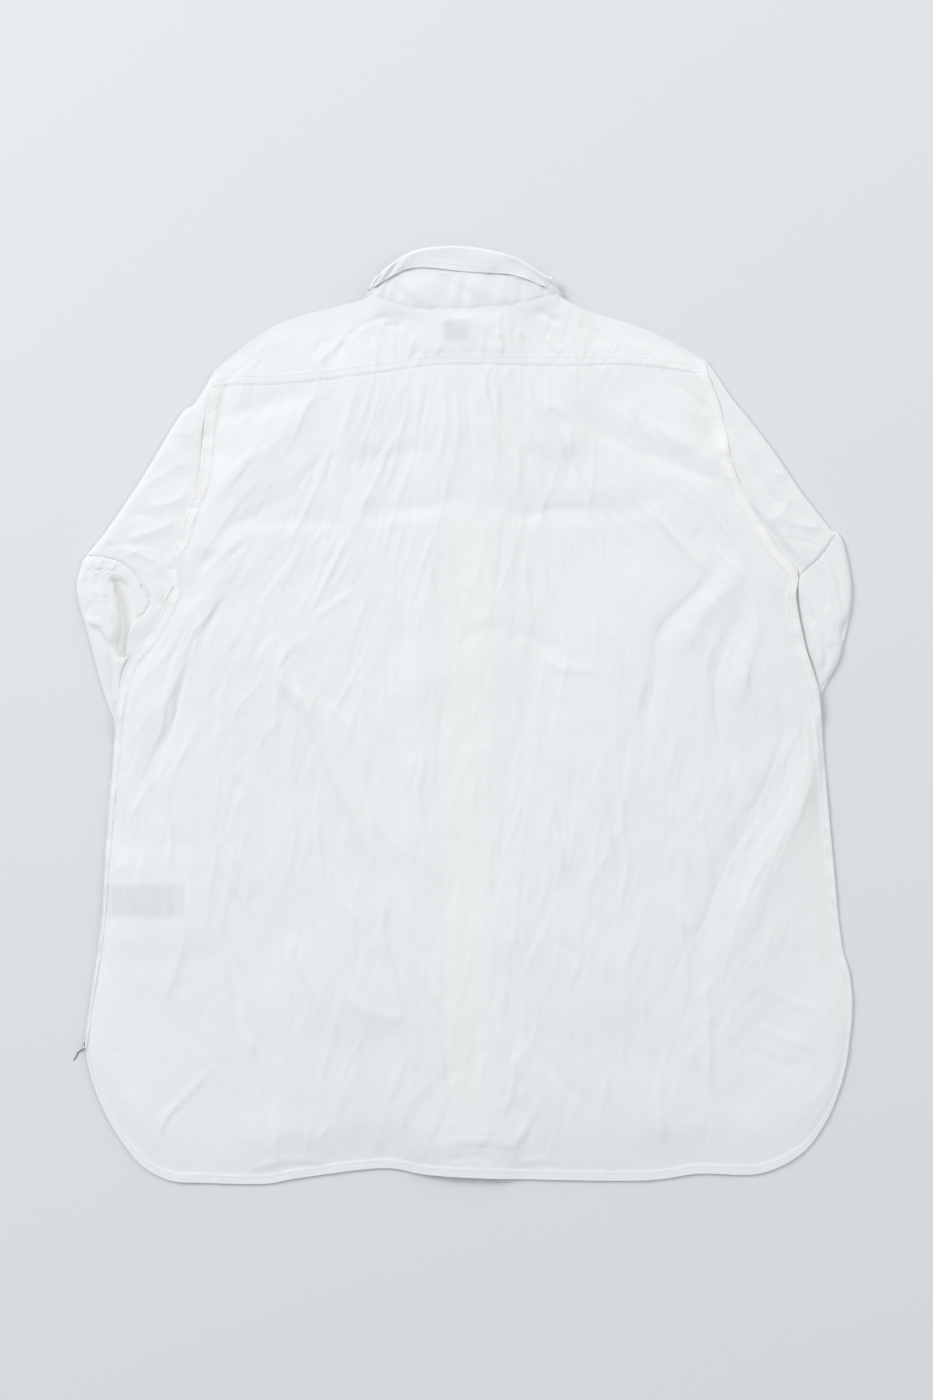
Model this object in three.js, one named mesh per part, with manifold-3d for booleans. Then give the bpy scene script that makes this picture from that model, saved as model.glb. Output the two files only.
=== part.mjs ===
// A white cotton work shirt laid face down, its sleeves bent at the elbow and tucked under the body.
// Millimetres. +X is the wearer's right, +Y runs from hem to collar, +Z is up from the surface.
import * as THREE from 'three';
import Module from 'manifold-3d';

const wasm = await Module();
wasm.setup();

// ---------------------------------------------------------------- driving dimensions

const cloth = {
  wall: 1.2,            // one ply of shirting
  placketWall: 1.4,     // folded button band
  standWall: 1.8,       // two plies and interlining
  leafWall: 1.4,
  cuffWall: 1.5,
  seamGap: 0.3,
  steepest: 1.7,        // how much a wall may thicken upright where the cloth is steep
};

const grid = {
  columns: 30,          // across the body
  bodyRows: 31,         // hem to yoke seam
  yokeRows: 4,          // yoke seam to shoulder
  bandColumn: 14,       // the button band runs between this column
  bandEndColumn: 16,    // and this one
};

const band = { centre: 2, halfWidth: 20 };

// Air under the back, and how it fades towards the sides and the hem, in columns and rows of the grid.
const puff = { body: 3.2, foldBase: 1, fade: 2, sideShare: 0.6, hemRows: 1.5, armhole: 3.4, armholeShare: 0.8 };
const neck = { side: 6, rise: 7, halfWidth: 85, blend: 30, outside: 26, steepness: 1.2 };

const sleeveFlat = { height: 4.2, clear: 0.5, lifted: 16, ramp: 28 };
const armhole = { gap: 0.8, rowShare: 0.23, sleeveShare: 0.16 };   // the gap is between chords of the curved seam
const sleeveCrown = { from: 0.08, span: 0.9, tuckBefore: 0.36, tuckOver: 0.3, edgePower: 6 };
const buttonSize = { radius: 5.6, collarRadius: 4.4, thick: 2.3, dish: 0.5, sides: 10 };
const bandLift = { height: buttonSize.thick + 0.5, flat: 2, ramp: 34 };
const frontButtons = { count: 6, first: 235, step: -96 };
const cuffButtons = [{ name: 'left', x: -100, y: -236 }, { name: 'right', x: 110, y: -236 }];
const cuffButtonLift = { height: 2.7, flat: 24, ramp: 28 };
const collarButtonY = 310;
const collarLift = { height: 2.8, halfWidth: 96, lowEnd: 246, ramp: 26 };
const neckCut = { clear: 0.45, halfWidth: 13, low: 296, high: 420, depth: -1, top: 30, steps: 16 };
const careLabel = { x: -283, y: -164, width: 70, height: 29, thick: 0.8, lift: 1.15, flat: 16, ramp: 24 };
const neckLabel = { x: -7, y: 341, width: 22, height: 19, thick: 0.8, clear: 0.4 };

// ---------------------------------------------------------------- outline of the flat body

const outline = {
  leftSide: [[-337, -290], [-332, -250], [-322, -180], [-318, -110], [-312, -40], [-309, 5],
    [-300, 46], [-277, 78], [-260, 113], [-263, 133]],
  leftArmhole: [[-263, 133], [-254, 157], [-245, 185], [-236, 208], [-232, 240], [-230, 262], [-224, 292]],
  rightSide: [[341, -302], [345, -262], [343, -231], [335, -198], [327, -116], [320, -39], [315, 20],
    [303, 62], [295, 103], [296, 128]],
  rightArmhole: [[296, 128], [278, 150], [263, 174], [252, 192], [238, 223], [232, 255], [225, 282], [216, 304]],
  hem: [[-337, -290], [-334, -312], [-325, -340], [-308, -373], [-286, -400], [-262, -413], [-235, -415],
    [-178, -416], [-148, -411], [-73, -402], [-30, -408], [60, -412], [160, -413], [208, -407], [262, -407],
    [300, -389], [322, -360], [335, -328], [341, -302]],
  yokeSeam: [[-224, 292], [-206, 295], [-153, 297], [-82, 305], [-15, 313], [94, 312], [150, 313], [216, 304]],
  leftShoulderTip: [[-224, 292], [-222, 307]],
  rightShoulderTip: [[216, 304], [215, 316]],
  shoulders: [[-222, 307], [-196, 329], [-165, 349], [-134, 359], [-100, 367], [-84, 371], [-70, 366.4],
    [-43, 360.4], [0, 359.6], [43, 363.4], [70, 369.4], [84, 372], [108, 361], [150, 348], [182, 334], [215, 316]],
};

// ---------------------------------------------------------------- sleeves, lying under the body

// Sections across each sleeve, shoulder to cuff: its outer and underarm edges, how full it stands,
// and the share of it that is not yet under the body.
const leftSleeveSections = [
  { outer: [-222, 307], inner: [-263, 133], full: 0, cover: 0.93 },
  { outer: [-252, 268], inner: [-262, 124], full: 4.4, cover: 0.84 },
  { outer: [-287, 211], inner: [-257, 113], full: 5.2, cover: 0.72 },
  { outer: [-318, 167], inner: [-250, 103], full: 6.4, cover: 0.74 },
  { outer: [-337, 141], inner: [-240, 94], full: 5.2, cover: 0.68 },
  { outer: [-344, 112], inner: [-228, 88], full: 1.6, cover: 0.58 },
  { outer: [-334, 72], inner: [-214, 84], full: 0.6, cover: 0.36 },
  { outer: [-318, 15], inner: [-190, 80], full: 0, cover: 0 },
  { outer: [-290, -50], inner: [-160, 32], full: 0, cover: 0 },
  { outer: [-252, -112], inner: [-127, -32], full: 0, cover: 0 },
  { outer: [-212, -170], inner: [-92, -102], full: 0, cover: 0 },
  { outer: [-167, -226], inner: [-53, -171], full: 0, cover: 0 },
];
const rightSleeveSections = [
  { outer: [215, 316], inner: [296, 128], full: 0, cover: 0.93 },
  { outer: [246, 276], inner: [296, 120], full: 4.2, cover: 0.84 },
  { outer: [277, 235], inner: [292, 110], full: 5.0, cover: 0.72 },
  { outer: [304, 197], inner: [286, 101], full: 6.2, cover: 0.62 },
  { outer: [331, 162], inner: [277, 93], full: 6.0, cover: 0.58 },
  { outer: [342, 133], inner: [266, 88], full: 2.4, cover: 0.53 },
  { outer: [344, 108], inner: [254, 85], full: 0.8, cover: 0.46 },
  { outer: [335, 58], inner: [224, 92], full: 0.2, cover: 0.24 },
  { outer: [313, 10], inner: [196, 84], full: 0, cover: 0 },
  { outer: [284, -45], inner: [166, 42], full: 0, cover: 0 },
  { outer: [250, -102], inner: [138, -15], full: 0, cover: 0 },
  { outer: [214, -160], inner: [102, -88], full: 0, cover: 0 },
  { outer: [177, -224], inner: [63, -172], full: 0, cover: 0 },
];
const leftCuffSections = [
  { outer: [-163.2, -228.6], inner: [-56.8, -178.6], full: 0, cover: 0 },
  { outer: [-149, -258], inner: [-43, -208], full: 0, cover: 0 },
  { outer: [-135, -287], inner: [-29, -237], full: 0, cover: 0 },
];
const rightCuffSections = [
  { outer: [173.2, -229.2], inner: [67.2, -179.2], full: 0, cover: 0 },
  { outer: [159, -258], inner: [53, -208], full: 0, cover: 0 },
  { outer: [145, -287], inner: [39, -237], full: 0, cover: 0 },
];
const sleeveRings = 21;
const cuffRings = 2;
const topFractions = [0, 0.03, 0.1, 0.22, 0.34, 0.46, 0.58, 0.7, 0.82, 0.92, 0.975, 1];
const bottomFractions = [0.975, 0.9, 0.76, 0.58, 0.4, 0.26, 0.16, 0.08, 0.02];

// ---------------------------------------------------------------- folds of the back

// Each fold runs from one end to the other, bowed sideways at its middle, and rises or sinks.
const foldEnds = 0.55;   // its height at the ends, as a share
const backFolds = [
  { from: [-205, 165], to: [-100, 172], bow: 3, width: 13, rise: -3.4 },
  { from: [-104, 170], to: [10, 200], bow: 6, width: 12, rise: -3.8 },
  { from: [5, 200], to: [60, 178], bow: -3, width: 12, rise: -3.8 },
  { from: [50, 178], to: [190, 197], bow: -9, width: 14, rise: -3.6 },
  { from: [-170, 205], to: [-90, 203], bow: 4, width: 15, rise: 5.5 },
  { from: [-70, 212], to: [0, 222], bow: 3, width: 14, rise: 5.0 },
  { from: [30, 212], to: [180, 228], bow: -7, width: 17, rise: 5.5 },
  { from: [-190, 135], to: [60, 150], bow: 4, width: 20, rise: 3.4 },
  { from: [-228, 185], to: [-128, 287], bow: 5, width: 13, rise: 5.0 },
  { from: [-223, 250], to: [-138, 292], bow: 4, width: 11, rise: -2.8 },
  { from: [102, 270], to: [248, 182], bow: 14, width: 14, rise: -3.2 },
  { from: [120, 285], to: [225, 240], bow: 6, width: 14, rise: 3.6 },
  { from: [-177, 139], to: [-247, 47], bow: 6, width: 13, rise: -3.0 },
  { from: [-247, 50], to: [-303, -90], bow: -5, width: 13, rise: -3.0 },
  { from: [-210, 128], to: [-262, 30], bow: 8, width: 14, rise: 4.4 },
  { from: [-124, 80], to: [-160, 26], bow: -14, width: 10, rise: 3.2 },
  { from: [-160, 28], to: [-77, -139], bow: 4, width: 12, rise: 4.0 },
  { from: [-78, -139], to: [-59, -266], bow: 0, width: 11, rise: 3.4 },
  { from: [231, 157], to: [160, 30], bow: 12, width: 13, rise: -3.2 },
  { from: [162, 30], to: [157, -60], bow: 0, width: 12, rise: -2.6 },
  { from: [254, 124], to: [225, 3], bow: -12, width: 14, rise: 5.0 },
  { from: [225, 3], to: [255, -90], bow: 0, width: 13, rise: 3.4 },
  { from: [312, 0], to: [250, -110], bow: 8, width: 15, rise: -3.2 },
  { from: [252, -106], to: [200, -255], bow: 4, width: 17, rise: -3.2 },
  { from: [300, -60], to: [262, -180], bow: 10, width: 18, rise: 3.6 },
  { from: [-250, -130], to: [-186, -295], bow: 10, width: 18, rise: -3.2 },
  { from: [-186, -295], to: [-166, -400], bow: 0, width: 13, rise: -3.2 },
  { from: [-168, -270], to: [-148, -392], bow: 2, width: 14, rise: 4.0 },
  { from: [60, -40], to: [90, -160], bow: 6, width: 11, rise: 3.2 },
  { from: [30, -70], to: [26, -180], bow: 0, width: 10, rise: 3.0 },
  { from: [120, -54], to: [136, -151], bow: -4, width: 11, rise: 3.0 },
  { from: [68, -290], to: [104, -345], bow: 0, width: 12, rise: -2.8 },
  { from: [-60, -378], to: [60, -384], bow: 8, width: 11, rise: 4.8 },
  { from: [214, -210], to: [232, -366], bow: 5, width: 13, rise: 3.8 },
  { from: [-8, 296], to: [-32, 210], bow: 0, width: 9, rise: 2.8 },
  { from: [-60, 290], to: [-96, 205], bow: 4, width: 10, rise: 3.0 },
  { from: [40, 294], to: [48, 212], bow: 0, width: 9, rise: 2.8 },
];

// ---------------------------------------------------------------- collar

// Stations round the neck from the left end at the centre front, over the back, to the right end.
// base and top bound the stand; the leaf rises from top to roll, turns over at radius bend, and falls to edge.
const collarStations = [
  { base: [12, 296, 3.7], top: [12, 322, 3.7], roll: [12, 329, 3.7], edge: [-10, 262, 1.1], bend: 1.3 },
  { base: [-28, 303, 3.7], top: [-26, 328, 3.7], roll: [-26, 335, 3.7], edge: [-42, 262, 1.1], bend: 1.3 },
  { base: [-60, 331, 3.7], top: [-54, 350, 3.9], roll: [-52, 358, 3.9], edge: [-76, 296, 1.1], bend: 1.4 },
  { base: [-80, 361, 3.9], top: [-73, 373, 4.8], roll: [-71, 378, 4.8], edge: [-93, 346, 1.1], bend: 1.8 },
  { base: [-86, 373.5, 6.8], top: [-79, 382, 9.0], roll: [-77, 388, 11.4], edge: [-91, 378, 2.0], bend: 2.0 },
  { base: [-72, 368.6, 10.4], top: [-67, 387, 13.4], roll: [-67, 396, 15.4], edge: [-75, 385, 20.6], bend: 2.0 },
  { base: [-43, 361.6, 12.2], top: [-40, 388, 14.8], roll: [-41, 410, 15.6], edge: [-44, 396.5, 20.6], bend: 2.2 },
  { base: [0, 361, 13.0], top: [0, 389, 15.4], roll: [0, 413, 16.0], edge: [0, 393.5, 21.2], bend: 2.2 },
  { base: [43, 364.8, 12.2], top: [40, 389, 14.8], roll: [41, 405, 15.6], edge: [42, 390, 20.6], bend: 2.2 },
  { base: [72, 371.2, 10.4], top: [66, 387, 13.4], roll: [66, 392, 15.2], edge: [70, 380.5, 20.2], bend: 2.0 },
  { base: [86, 374.5, 6.8], top: [79, 382, 9.0], roll: [77, 387, 11.4], edge: [91, 379, 1.6], bend: 2.0 },
  { base: [80, 361, 4.0], top: [73, 373, 5.0], roll: [71, 378, 5.0], edge: [93, 346, 1.1], bend: 1.8 },
  { base: [60, 331, 4.4], top: [54, 350, 4.6], roll: [52, 358, 4.6], edge: [76, 296, 1.1], bend: 1.7 },
  { base: [26, 303, 5.6], top: [25, 328, 5.8], roll: [25, 336, 5.8], edge: [43, 262, 1.1], bend: 2.3 },
  { base: [-12, 296, 6.3], top: [-12, 322, 6.3], roll: [-12, 330, 6.3], edge: [12, 262, 1.1], bend: 2.5 },
];
const neckSide = { left: 4 / 14, right: 10 / 14 };   // stations where the stand turns over the shoulder
const collarSteps = 36;
const leafEnd = 0.045;      // the leaf stops short of the stand's ends by this share of its length
const leafClear = 0.25;     // above the surface
const leafStart = 1.5;      // from the stand's upper edge, which the leaf leaves at a slant
const standRows = 2;
const leafRiseRows = 2;
const leafRollRows = 3;
const leafFallRows = 3;

// ---------------------------------------------------------------- small helpers

const smooth = (t) => {
  const c = Math.min(1, Math.max(0, t));
  return c * c * (3 - 2 * c);
};

const mix = (a, b, t) => a + (b - a) * t;

const spline = (points) => new THREE.SplineCurve(points.map(([x, y]) => new THREE.Vector2(x, y)));

// Arc fraction at which a left-to-right curve passes a given x.
function fractionAtX(curve, x) {
  let low = 0;
  let high = 1;
  for (let step = 0; step < 40; step += 1) {
    const middle = (low + high) / 2;
    if (curve.getPointAt(middle).x < x) low = middle;
    else high = middle;
  }
  return (low + high) / 2;
}

// Points of a crosswise curve at the grid's columns, with the button band at its own width.
function pointsAcross(curve) {
  const bandStart = fractionAtX(curve, band.centre - band.halfWidth);
  const bandEnd = fractionAtX(curve, band.centre + band.halfWidth);
  const points = [];
  for (let column = 0; column <= grid.columns; column += 1) {
    let fraction;
    if (column <= grid.bandColumn) {
      fraction = bandStart * column / grid.bandColumn;
    } else if (column <= grid.bandEndColumn) {
      const share = (column - grid.bandColumn) / (grid.bandEndColumn - grid.bandColumn);
      fraction = mix(bandStart, bandEnd, share);
    } else {
      const share = (column - grid.bandEndColumn) / (grid.columns - grid.bandEndColumn);
      fraction = mix(bandEnd, 1, share);
    }
    points.push(curve.getPointAt(fraction));
  }
  return points;
}

function pointsAlong(curve, rows) {
  const points = [];
  for (let row = 0; row <= rows; row += 1) points.push(curve.getPointAt(row / rows));
  return points;
}

// A patch filled between four edges: low and high run across, left and right run up.
function coonsPatch(low, high, left, right) {
  const columns = low.length - 1;
  const rows = left.length - 1;
  const patch = [];
  for (let row = 0; row <= rows; row += 1) {
    const v = row / rows;
    const line = [];
    for (let column = 0; column <= columns; column += 1) {
      const u = column / columns;
      const place = (axis) => mix(low[column][axis], high[column][axis], v)
        + mix(left[row][axis], right[row][axis], u)
        - mix(mix(low[0][axis], low[columns][axis], u), mix(high[0][axis], high[columns][axis], u), v);
      line.push(new THREE.Vector2(place('x'), place('y')));
    }
    patch.push(line);
  }
  return patch;
}

// A closed wall from two matching grids of points, top facing up.
function wallGeometry(top, bottom) {
  const rows = top.length;
  const columns = top[0].length;
  const positions = [];
  for (const layer of [top, bottom]) {
    for (const line of layer) for (const p of line) positions.push(p.x, p.y, p.z);
  }
  const at = (layer, row, column) => (layer * rows + row) * columns + column;
  const index = [];
  const quad = (a, b, c, d) => index.push(a, b, c, a, c, d);
  for (let row = 0; row + 1 < rows; row += 1) {
    for (let column = 0; column + 1 < columns; column += 1) {
      quad(at(0, row, column), at(0, row, column + 1), at(0, row + 1, column + 1), at(0, row + 1, column));
      quad(at(1, row, column), at(1, row + 1, column), at(1, row + 1, column + 1), at(1, row, column + 1));
    }
  }
  const last = { row: rows - 1, column: columns - 1 };
  for (let column = 0; column < last.column; column += 1) {
    quad(at(1, 0, column), at(1, 0, column + 1), at(0, 0, column + 1), at(0, 0, column));
    const [a, b] = [at(0, last.row, column), at(0, last.row, column + 1)];
    quad(a, b, at(1, last.row, column + 1), at(1, last.row, column));
  }
  for (let row = 0; row < last.row; row += 1) {
    quad(at(0, row, 0), at(0, row + 1, 0), at(1, row + 1, 0), at(1, row, 0));
    const [a, b] = [at(1, row, last.column), at(1, row + 1, last.column)];
    quad(a, b, at(0, row + 1, last.column), at(0, row, last.column));
  }
  const geometry = new THREE.BufferGeometry();
  geometry.setAttribute('position', new THREE.Float32BufferAttribute(positions, 3));
  geometry.setIndex(index);
  geometry.computeVertexNormals();
  return geometry;
}

// ---------------------------------------------------------------- how high the layers lie

// How far a point lies outside the flat part of a sleeve that is under the body.
function outsideSleeve(x, y, sections) {
  let nearest = Infinity;
  for (let k = 2; k + 1 < sections.length; k += 1) {
    const [a, b] = [sections[k], sections[k + 1]];
    const ax = (a.outer[0] + a.inner[0]) / 2;
    const ay = (a.outer[1] + a.inner[1]) / 2;
    const bx = (b.outer[0] + b.inner[0]) / 2;
    const by = (b.outer[1] + b.inner[1]) / 2;
    const length = Math.hypot(bx - ax, by - ay);
    const along = ((x - ax) * (bx - ax) + (y - ay) * (by - ay)) / length;
    const across = Math.abs((x - ax) * (by - ay) - (y - ay) * (bx - ax)) / length;
    const t = Math.min(1, Math.max(0, along / length));
    const halfA = Math.hypot(a.outer[0] - a.inner[0], a.outer[1] - a.inner[1]) / 2;
    const halfB = Math.hypot(b.outer[0] - b.inner[0], b.outer[1] - b.inner[1]) / 2;
    const half = mix(halfA, halfB, t);
    const isLast = k + 2 === sections.length;
    const past = along - length;
    const reach = isLast && past > 0
      ? Math.max(across - half, past)
      : Math.hypot(across, along - t * length) - half;
    nearest = Math.min(nearest, reach);
  }
  return nearest;
}

const leftArm = [...leftSleeveSections, ...leftCuffSections.slice(1)];
const rightArm = [...rightSleeveSections, ...rightCuffSections.slice(1)];

function sleeveLift(x, y) {
  const outside = Math.min(outsideSleeve(x, y, leftArm), outsideSleeve(x, y, rightArm));
  const share = smooth(1 - (outside - sleeveFlat.lifted) / sleeveFlat.ramp);
  return (sleeveFlat.height + sleeveFlat.clear) * share;
}

function cuffButtonHeight(x, y) {
  const nearest = Math.min(...cuffButtons.map((button) => Math.hypot(x - button.x, y - button.y)));
  return cuffButtonLift.height * smooth(1 - (nearest - cuffButtonLift.flat) / cuffButtonLift.ramp);
}

function bandHeight(x) {
  const outside = Math.abs(x - band.centre) - band.halfWidth - bandLift.flat;
  return bandLift.height * smooth(1 - outside / bandLift.ramp);
}

function collarHeight(x, y) {
  const across = smooth(1 - (Math.abs(x) - collarLift.halfWidth) / collarLift.ramp);
  const along = smooth(1 + (y - collarLift.lowEnd) / collarLift.ramp);
  return collarLift.height * across * along;
}

// Underside of the fronts: on the surface, or over what lies beneath them.
function frontUnder(x, y) {
  return Math.max(sleeveLift(x, y) + cuffButtonHeight(x, y), bandHeight(x), collarHeight(x, y));
}

// The right front's edge lies over the button band.
const isOverBand = (column) => column >= grid.bandColumn && column <= grid.bandEndColumn;
const rightFrontStep = (column) => (isOverBand(column) ? cloth.placketWall + cloth.seamGap : 0);

function careLabelLift(x, y) {
  const outsideX = Math.abs(x - careLabel.x) - careLabel.width / 2 - careLabel.flat;
  const outsideY = Math.abs(y - careLabel.y) - careLabel.height / 2 - careLabel.flat;
  const across = smooth(1 - outsideX / careLabel.ramp);
  const along = smooth(1 - outsideY / careLabel.ramp);
  return careLabel.lift * across * along;
}

function foldHeight(x, y) {
  let sum = 0;
  for (const { from, to, bow, width, rise } of backFolds) {
    const dx = to[0] - from[0];
    const dy = to[1] - from[1];
    const length = Math.hypot(dx, dy);
    const along = ((x - from[0]) * dx + (y - from[1]) * dy) / (length * length);
    const t = Math.min(1, Math.max(0, along));
    const bowed = bow * 4 * t * (1 - t);
    const across = ((x - from[0]) * dy - (y - from[1]) * dx) / length - bowed;
    const past = (along - t) * length;
    const distance = Math.hypot(across, past) / width;
    sum += rise * Math.exp(-distance * distance) * mix(foldEnds, 1, Math.sin(Math.PI * t));
  }
  return sum;
}

function neckSeamHeight(x) {
  const t = Math.min(1, Math.abs(x) / neck.halfWidth);
  return neck.side + neck.rise * Math.sqrt(1 - t * t);
}

// Air between the fronts and the back; none at the side seams and the hem.
function bodyPuff(x, y, column, row) {
  const fromSide = Math.min(column, grid.columns - column);
  if (fromSide === 0) return row > grid.bodyRows * puff.armholeShare ? puff.armhole : 0;
  const air = puff.body * smooth(row / puff.fade) * smooth(fromSide / puff.fade);
  const folds = Math.max(0, foldHeight(x, y) + puff.foldBase);
  const open = smooth((fromSide + puff.sideShare) / puff.fade) * smooth(row / puff.hemRows);
  return (air + folds) * open;
}

// ---------------------------------------------------------------- the body's shared grid

const seamColumns = pointsAcross(spline(outline.yokeSeam));
const leftRows = pointsAlong(spline([...outline.leftSide, ...outline.leftArmhole.slice(1)]), grid.bodyRows);
const rightRows = pointsAlong(spline([...outline.rightSide, ...outline.rightArmhole.slice(1)]), grid.bodyRows);
const bodyPatch = coonsPatch(pointsAcross(spline(outline.hem)), seamColumns, leftRows, rightRows);
const yokePatch = coonsPatch(
  seamColumns,
  pointsAcross(spline(outline.shoulders)),
  pointsAlong(spline(outline.leftShoulderTip), grid.yokeRows),
  pointsAlong(spline(outline.rightShoulderTip), grid.yokeRows),
);

// Moves a row's points sideways so that the button band keeps its width and runs straight.
function straightenBand(line) {
  const start = band.centre - band.halfWidth - line[grid.bandColumn].x;
  const end = band.centre + band.halfWidth - line[grid.bandEndColumn].x;
  const beyond = grid.columns - grid.bandEndColumn;
  return line.map((point, column) => {
    let shift;
    if (column <= grid.bandColumn) shift = start * column / grid.bandColumn;
    else if (column < grid.bandEndColumn) shift = band.centre - point.x;
    else shift = end * (grid.columns - column) / beyond;
    return new THREE.Vector2(point.x + shift, point.y);
  });
}

const plan = [...bodyPatch, ...yokePatch.slice(1)].map(straightenBand);

// Underside of the layer that lies lowest at a grid point.
function lowestUnder(row, column) {
  return frontUnder(plan[row][column].x, plan[row][column].y);
}

function frontTop(row, column) {
  const { x, y } = plan[row][column];
  return frontUnder(x, y) + cloth.wall + rightFrontStep(column);
}

function backUnder(row, column) {
  const { x, y } = plan[row][column];
  const resting = frontTop(row, column) + cloth.seamGap + careLabelLift(x, y);
  const loose = resting + bodyPuff(x, y, column, row);
  if (row <= grid.bodyRows) return loose;
  const up = (row - grid.bodyRows) / grid.yokeRows;
  const inNeck = smooth((neck.halfWidth + neck.outside - Math.abs(x)) / neck.blend);
  const shoulder = mix(loose, resting, smooth(up));
  const seam = Math.max(resting, neckSeamHeight(x) - cloth.wall / 2);
  return mix(shoulder, mix(loose, seam, smooth(up * neck.steepness)), inNeck);
}

// Slope of the cloth at a grid point, to keep the wall's thickness on steep stretches.
function uprightWall(heights, row, column, wall) {
  const rowBefore = Math.max(0, row - 1);
  const rowAfter = Math.min(heights.length - 1, row + 1);
  const before = Math.max(0, column - 1);
  const after = Math.min(heights[0].length - 1, column + 1);
  const a = heights[row][before];
  const b = heights[row][after];
  const c = heights[rowBefore][column];
  const d = heights[rowAfter][column];
  const slopeAcross = (b.z - a.z) / Math.hypot(b.x - a.x, b.y - a.y);
  const slopeUp = (d.z - c.z) / Math.hypot(d.x - c.x, d.y - c.y);
  const factor = Math.sqrt(1 + slopeAcross * slopeAcross + slopeUp * slopeUp);
  return wall * Math.min(cloth.steepest, factor);
}

// A panel of the body between two rows and two columns of the shared grid.
function panelGeometry({ rows, columns, under, wall, trim = {} }) {
  const bottom = [];
  for (let row = rows[0]; row <= rows[1]; row += 1) {
    const line = [];
    for (let column = columns[0]; column <= columns[1]; column += 1) {
      const point = new THREE.Vector3(plan[row][column].x, plan[row][column].y, under(row, column));
      if (row === rows[0]) point.y += trim.low ?? 0;
      if (row === rows[1]) point.y -= trim.high ?? 0;
      if (column === columns[1]) point.x -= trim.right ?? 0;
      line.push(point);
    }
    bottom.push(line);
  }
  const top = bottom.map((line, row) => line.map((p, column) => (
    new THREE.Vector3(p.x, p.y, p.z + uprightWall(bottom, row, column, wall))
  )));
  return wallGeometry(top, bottom);
}

// ---------------------------------------------------------------- cutting with solids

function toSolid(geometry) {
  const { position } = geometry.attributes;
  const index = geometry.getIndex();
  return new wasm.Manifold(new wasm.Mesh({
    numProp: 3,
    vertProperties: new Float32Array(position.array),
    triVerts: new Uint32Array(index.array),
  }));
}

function fromSolid(solid) {
  const mesh = solid.getMesh();
  const geometry = new THREE.BufferGeometry();
  geometry.setAttribute('position', new THREE.Float32BufferAttribute(mesh.vertProperties, 3));
  geometry.setIndex([...mesh.triVerts]);
  geometry.computeVertexNormals();
  return geometry;
}

// The neck opening of the fronts, just outside the stand's seam.
function neckCutGeometry() {
  const seam = stationCurve('base');
  const left = [];
  const right = [];
  for (let step = 0; step <= neckCut.steps; step += 1) {
    const share = step / neckCut.steps;
    left.push(seam.getPoint(mix(neckSide.left, 0, share)));
    right.push(seam.getPoint(mix(1, neckSide.right, share)));
  }
  const lower = [
    ...left.filter((p) => p.x < -neckCut.halfWidth),
    new THREE.Vector3(-neckCut.halfWidth, neckCut.low, 0),
    new THREE.Vector3(neckCut.halfWidth, neckCut.low, 0),
    ...right.filter((p) => p.x > neckCut.halfWidth),
  ];
  const low = lower.map((p, k) => {
    const before = lower[Math.max(0, k - 1)];
    const after = lower[Math.min(lower.length - 1, k + 1)];
    const along = new THREE.Vector2(after.x - before.x, after.y - before.y).normalize();
    return new THREE.Vector3(p.x + along.y * neckCut.clear, p.y - along.x * neckCut.clear, neckCut.depth);
  });
  const high = low.map((p) => new THREE.Vector3(p.x, neckCut.high, neckCut.depth));
  const lift = (line) => line.map((p) => new THREE.Vector3(p.x, p.y, neckCut.top));
  return wallGeometry([lift(low), lift(high)], [low, high]);
}

// ---------------------------------------------------------------- the cut pieces

function makeBack() {
  return panelGeometry({
    rows: [0, grid.bodyRows],
    columns: [0, grid.columns],
    under: backUnder,
    wall: cloth.wall,
  });
}

function makeYoke() {
  return panelGeometry({
    rows: [grid.bodyRows, grid.bodyRows + grid.yokeRows],
    columns: [0, grid.columns],
    under: backUnder,
    wall: cloth.wall,
    trim: { low: cloth.seamGap },
  });
}

function makeFrontLeft() {
  const panel = panelGeometry({
    rows: [0, grid.bodyRows + grid.yokeRows],
    columns: [0, grid.bandColumn],
    under: lowestUnder,
    wall: cloth.wall,
    trim: { right: cloth.seamGap },
  });
  return fromSolid(toSolid(panel).subtract(toSolid(neckCutGeometry())));
}

function makeFrontRight() {
  const panel = panelGeometry({
    rows: [0, grid.bodyRows + grid.yokeRows],
    columns: [grid.bandColumn, grid.columns],
    under: (row, column) => lowestUnder(row, column) + rightFrontStep(column),
    wall: cloth.wall,
  });
  return fromSolid(toSolid(panel).subtract(toSolid(neckCutGeometry())));
}

// The folded band on the left front's edge, under the right front.
function makePlacket() {
  const panel = panelGeometry({
    rows: [0, grid.bodyRows + grid.yokeRows],
    columns: [grid.bandColumn, grid.bandEndColumn],
    under: lowestUnder,
    wall: cloth.placketWall,
  });
  return fromSolid(toSolid(panel).subtract(toSolid(neckCutGeometry())));
}

// ---------------------------------------------------------------- sleeves and cuffs

function sectionCurve(sections, edge) {
  return new THREE.CatmullRomCurve3(
    sections.map((section) => new THREE.Vector3(section[edge][0], section[edge][1], section.full)),
    false,
    'centripetal',
  );
}

function coverAt(sections, v) {
  const place = v * (sections.length - 1);
  const k = Math.min(sections.length - 2, Math.floor(place));
  return mix(sections[k].cover, sections[k + 1].cover, place - k);
}

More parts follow.
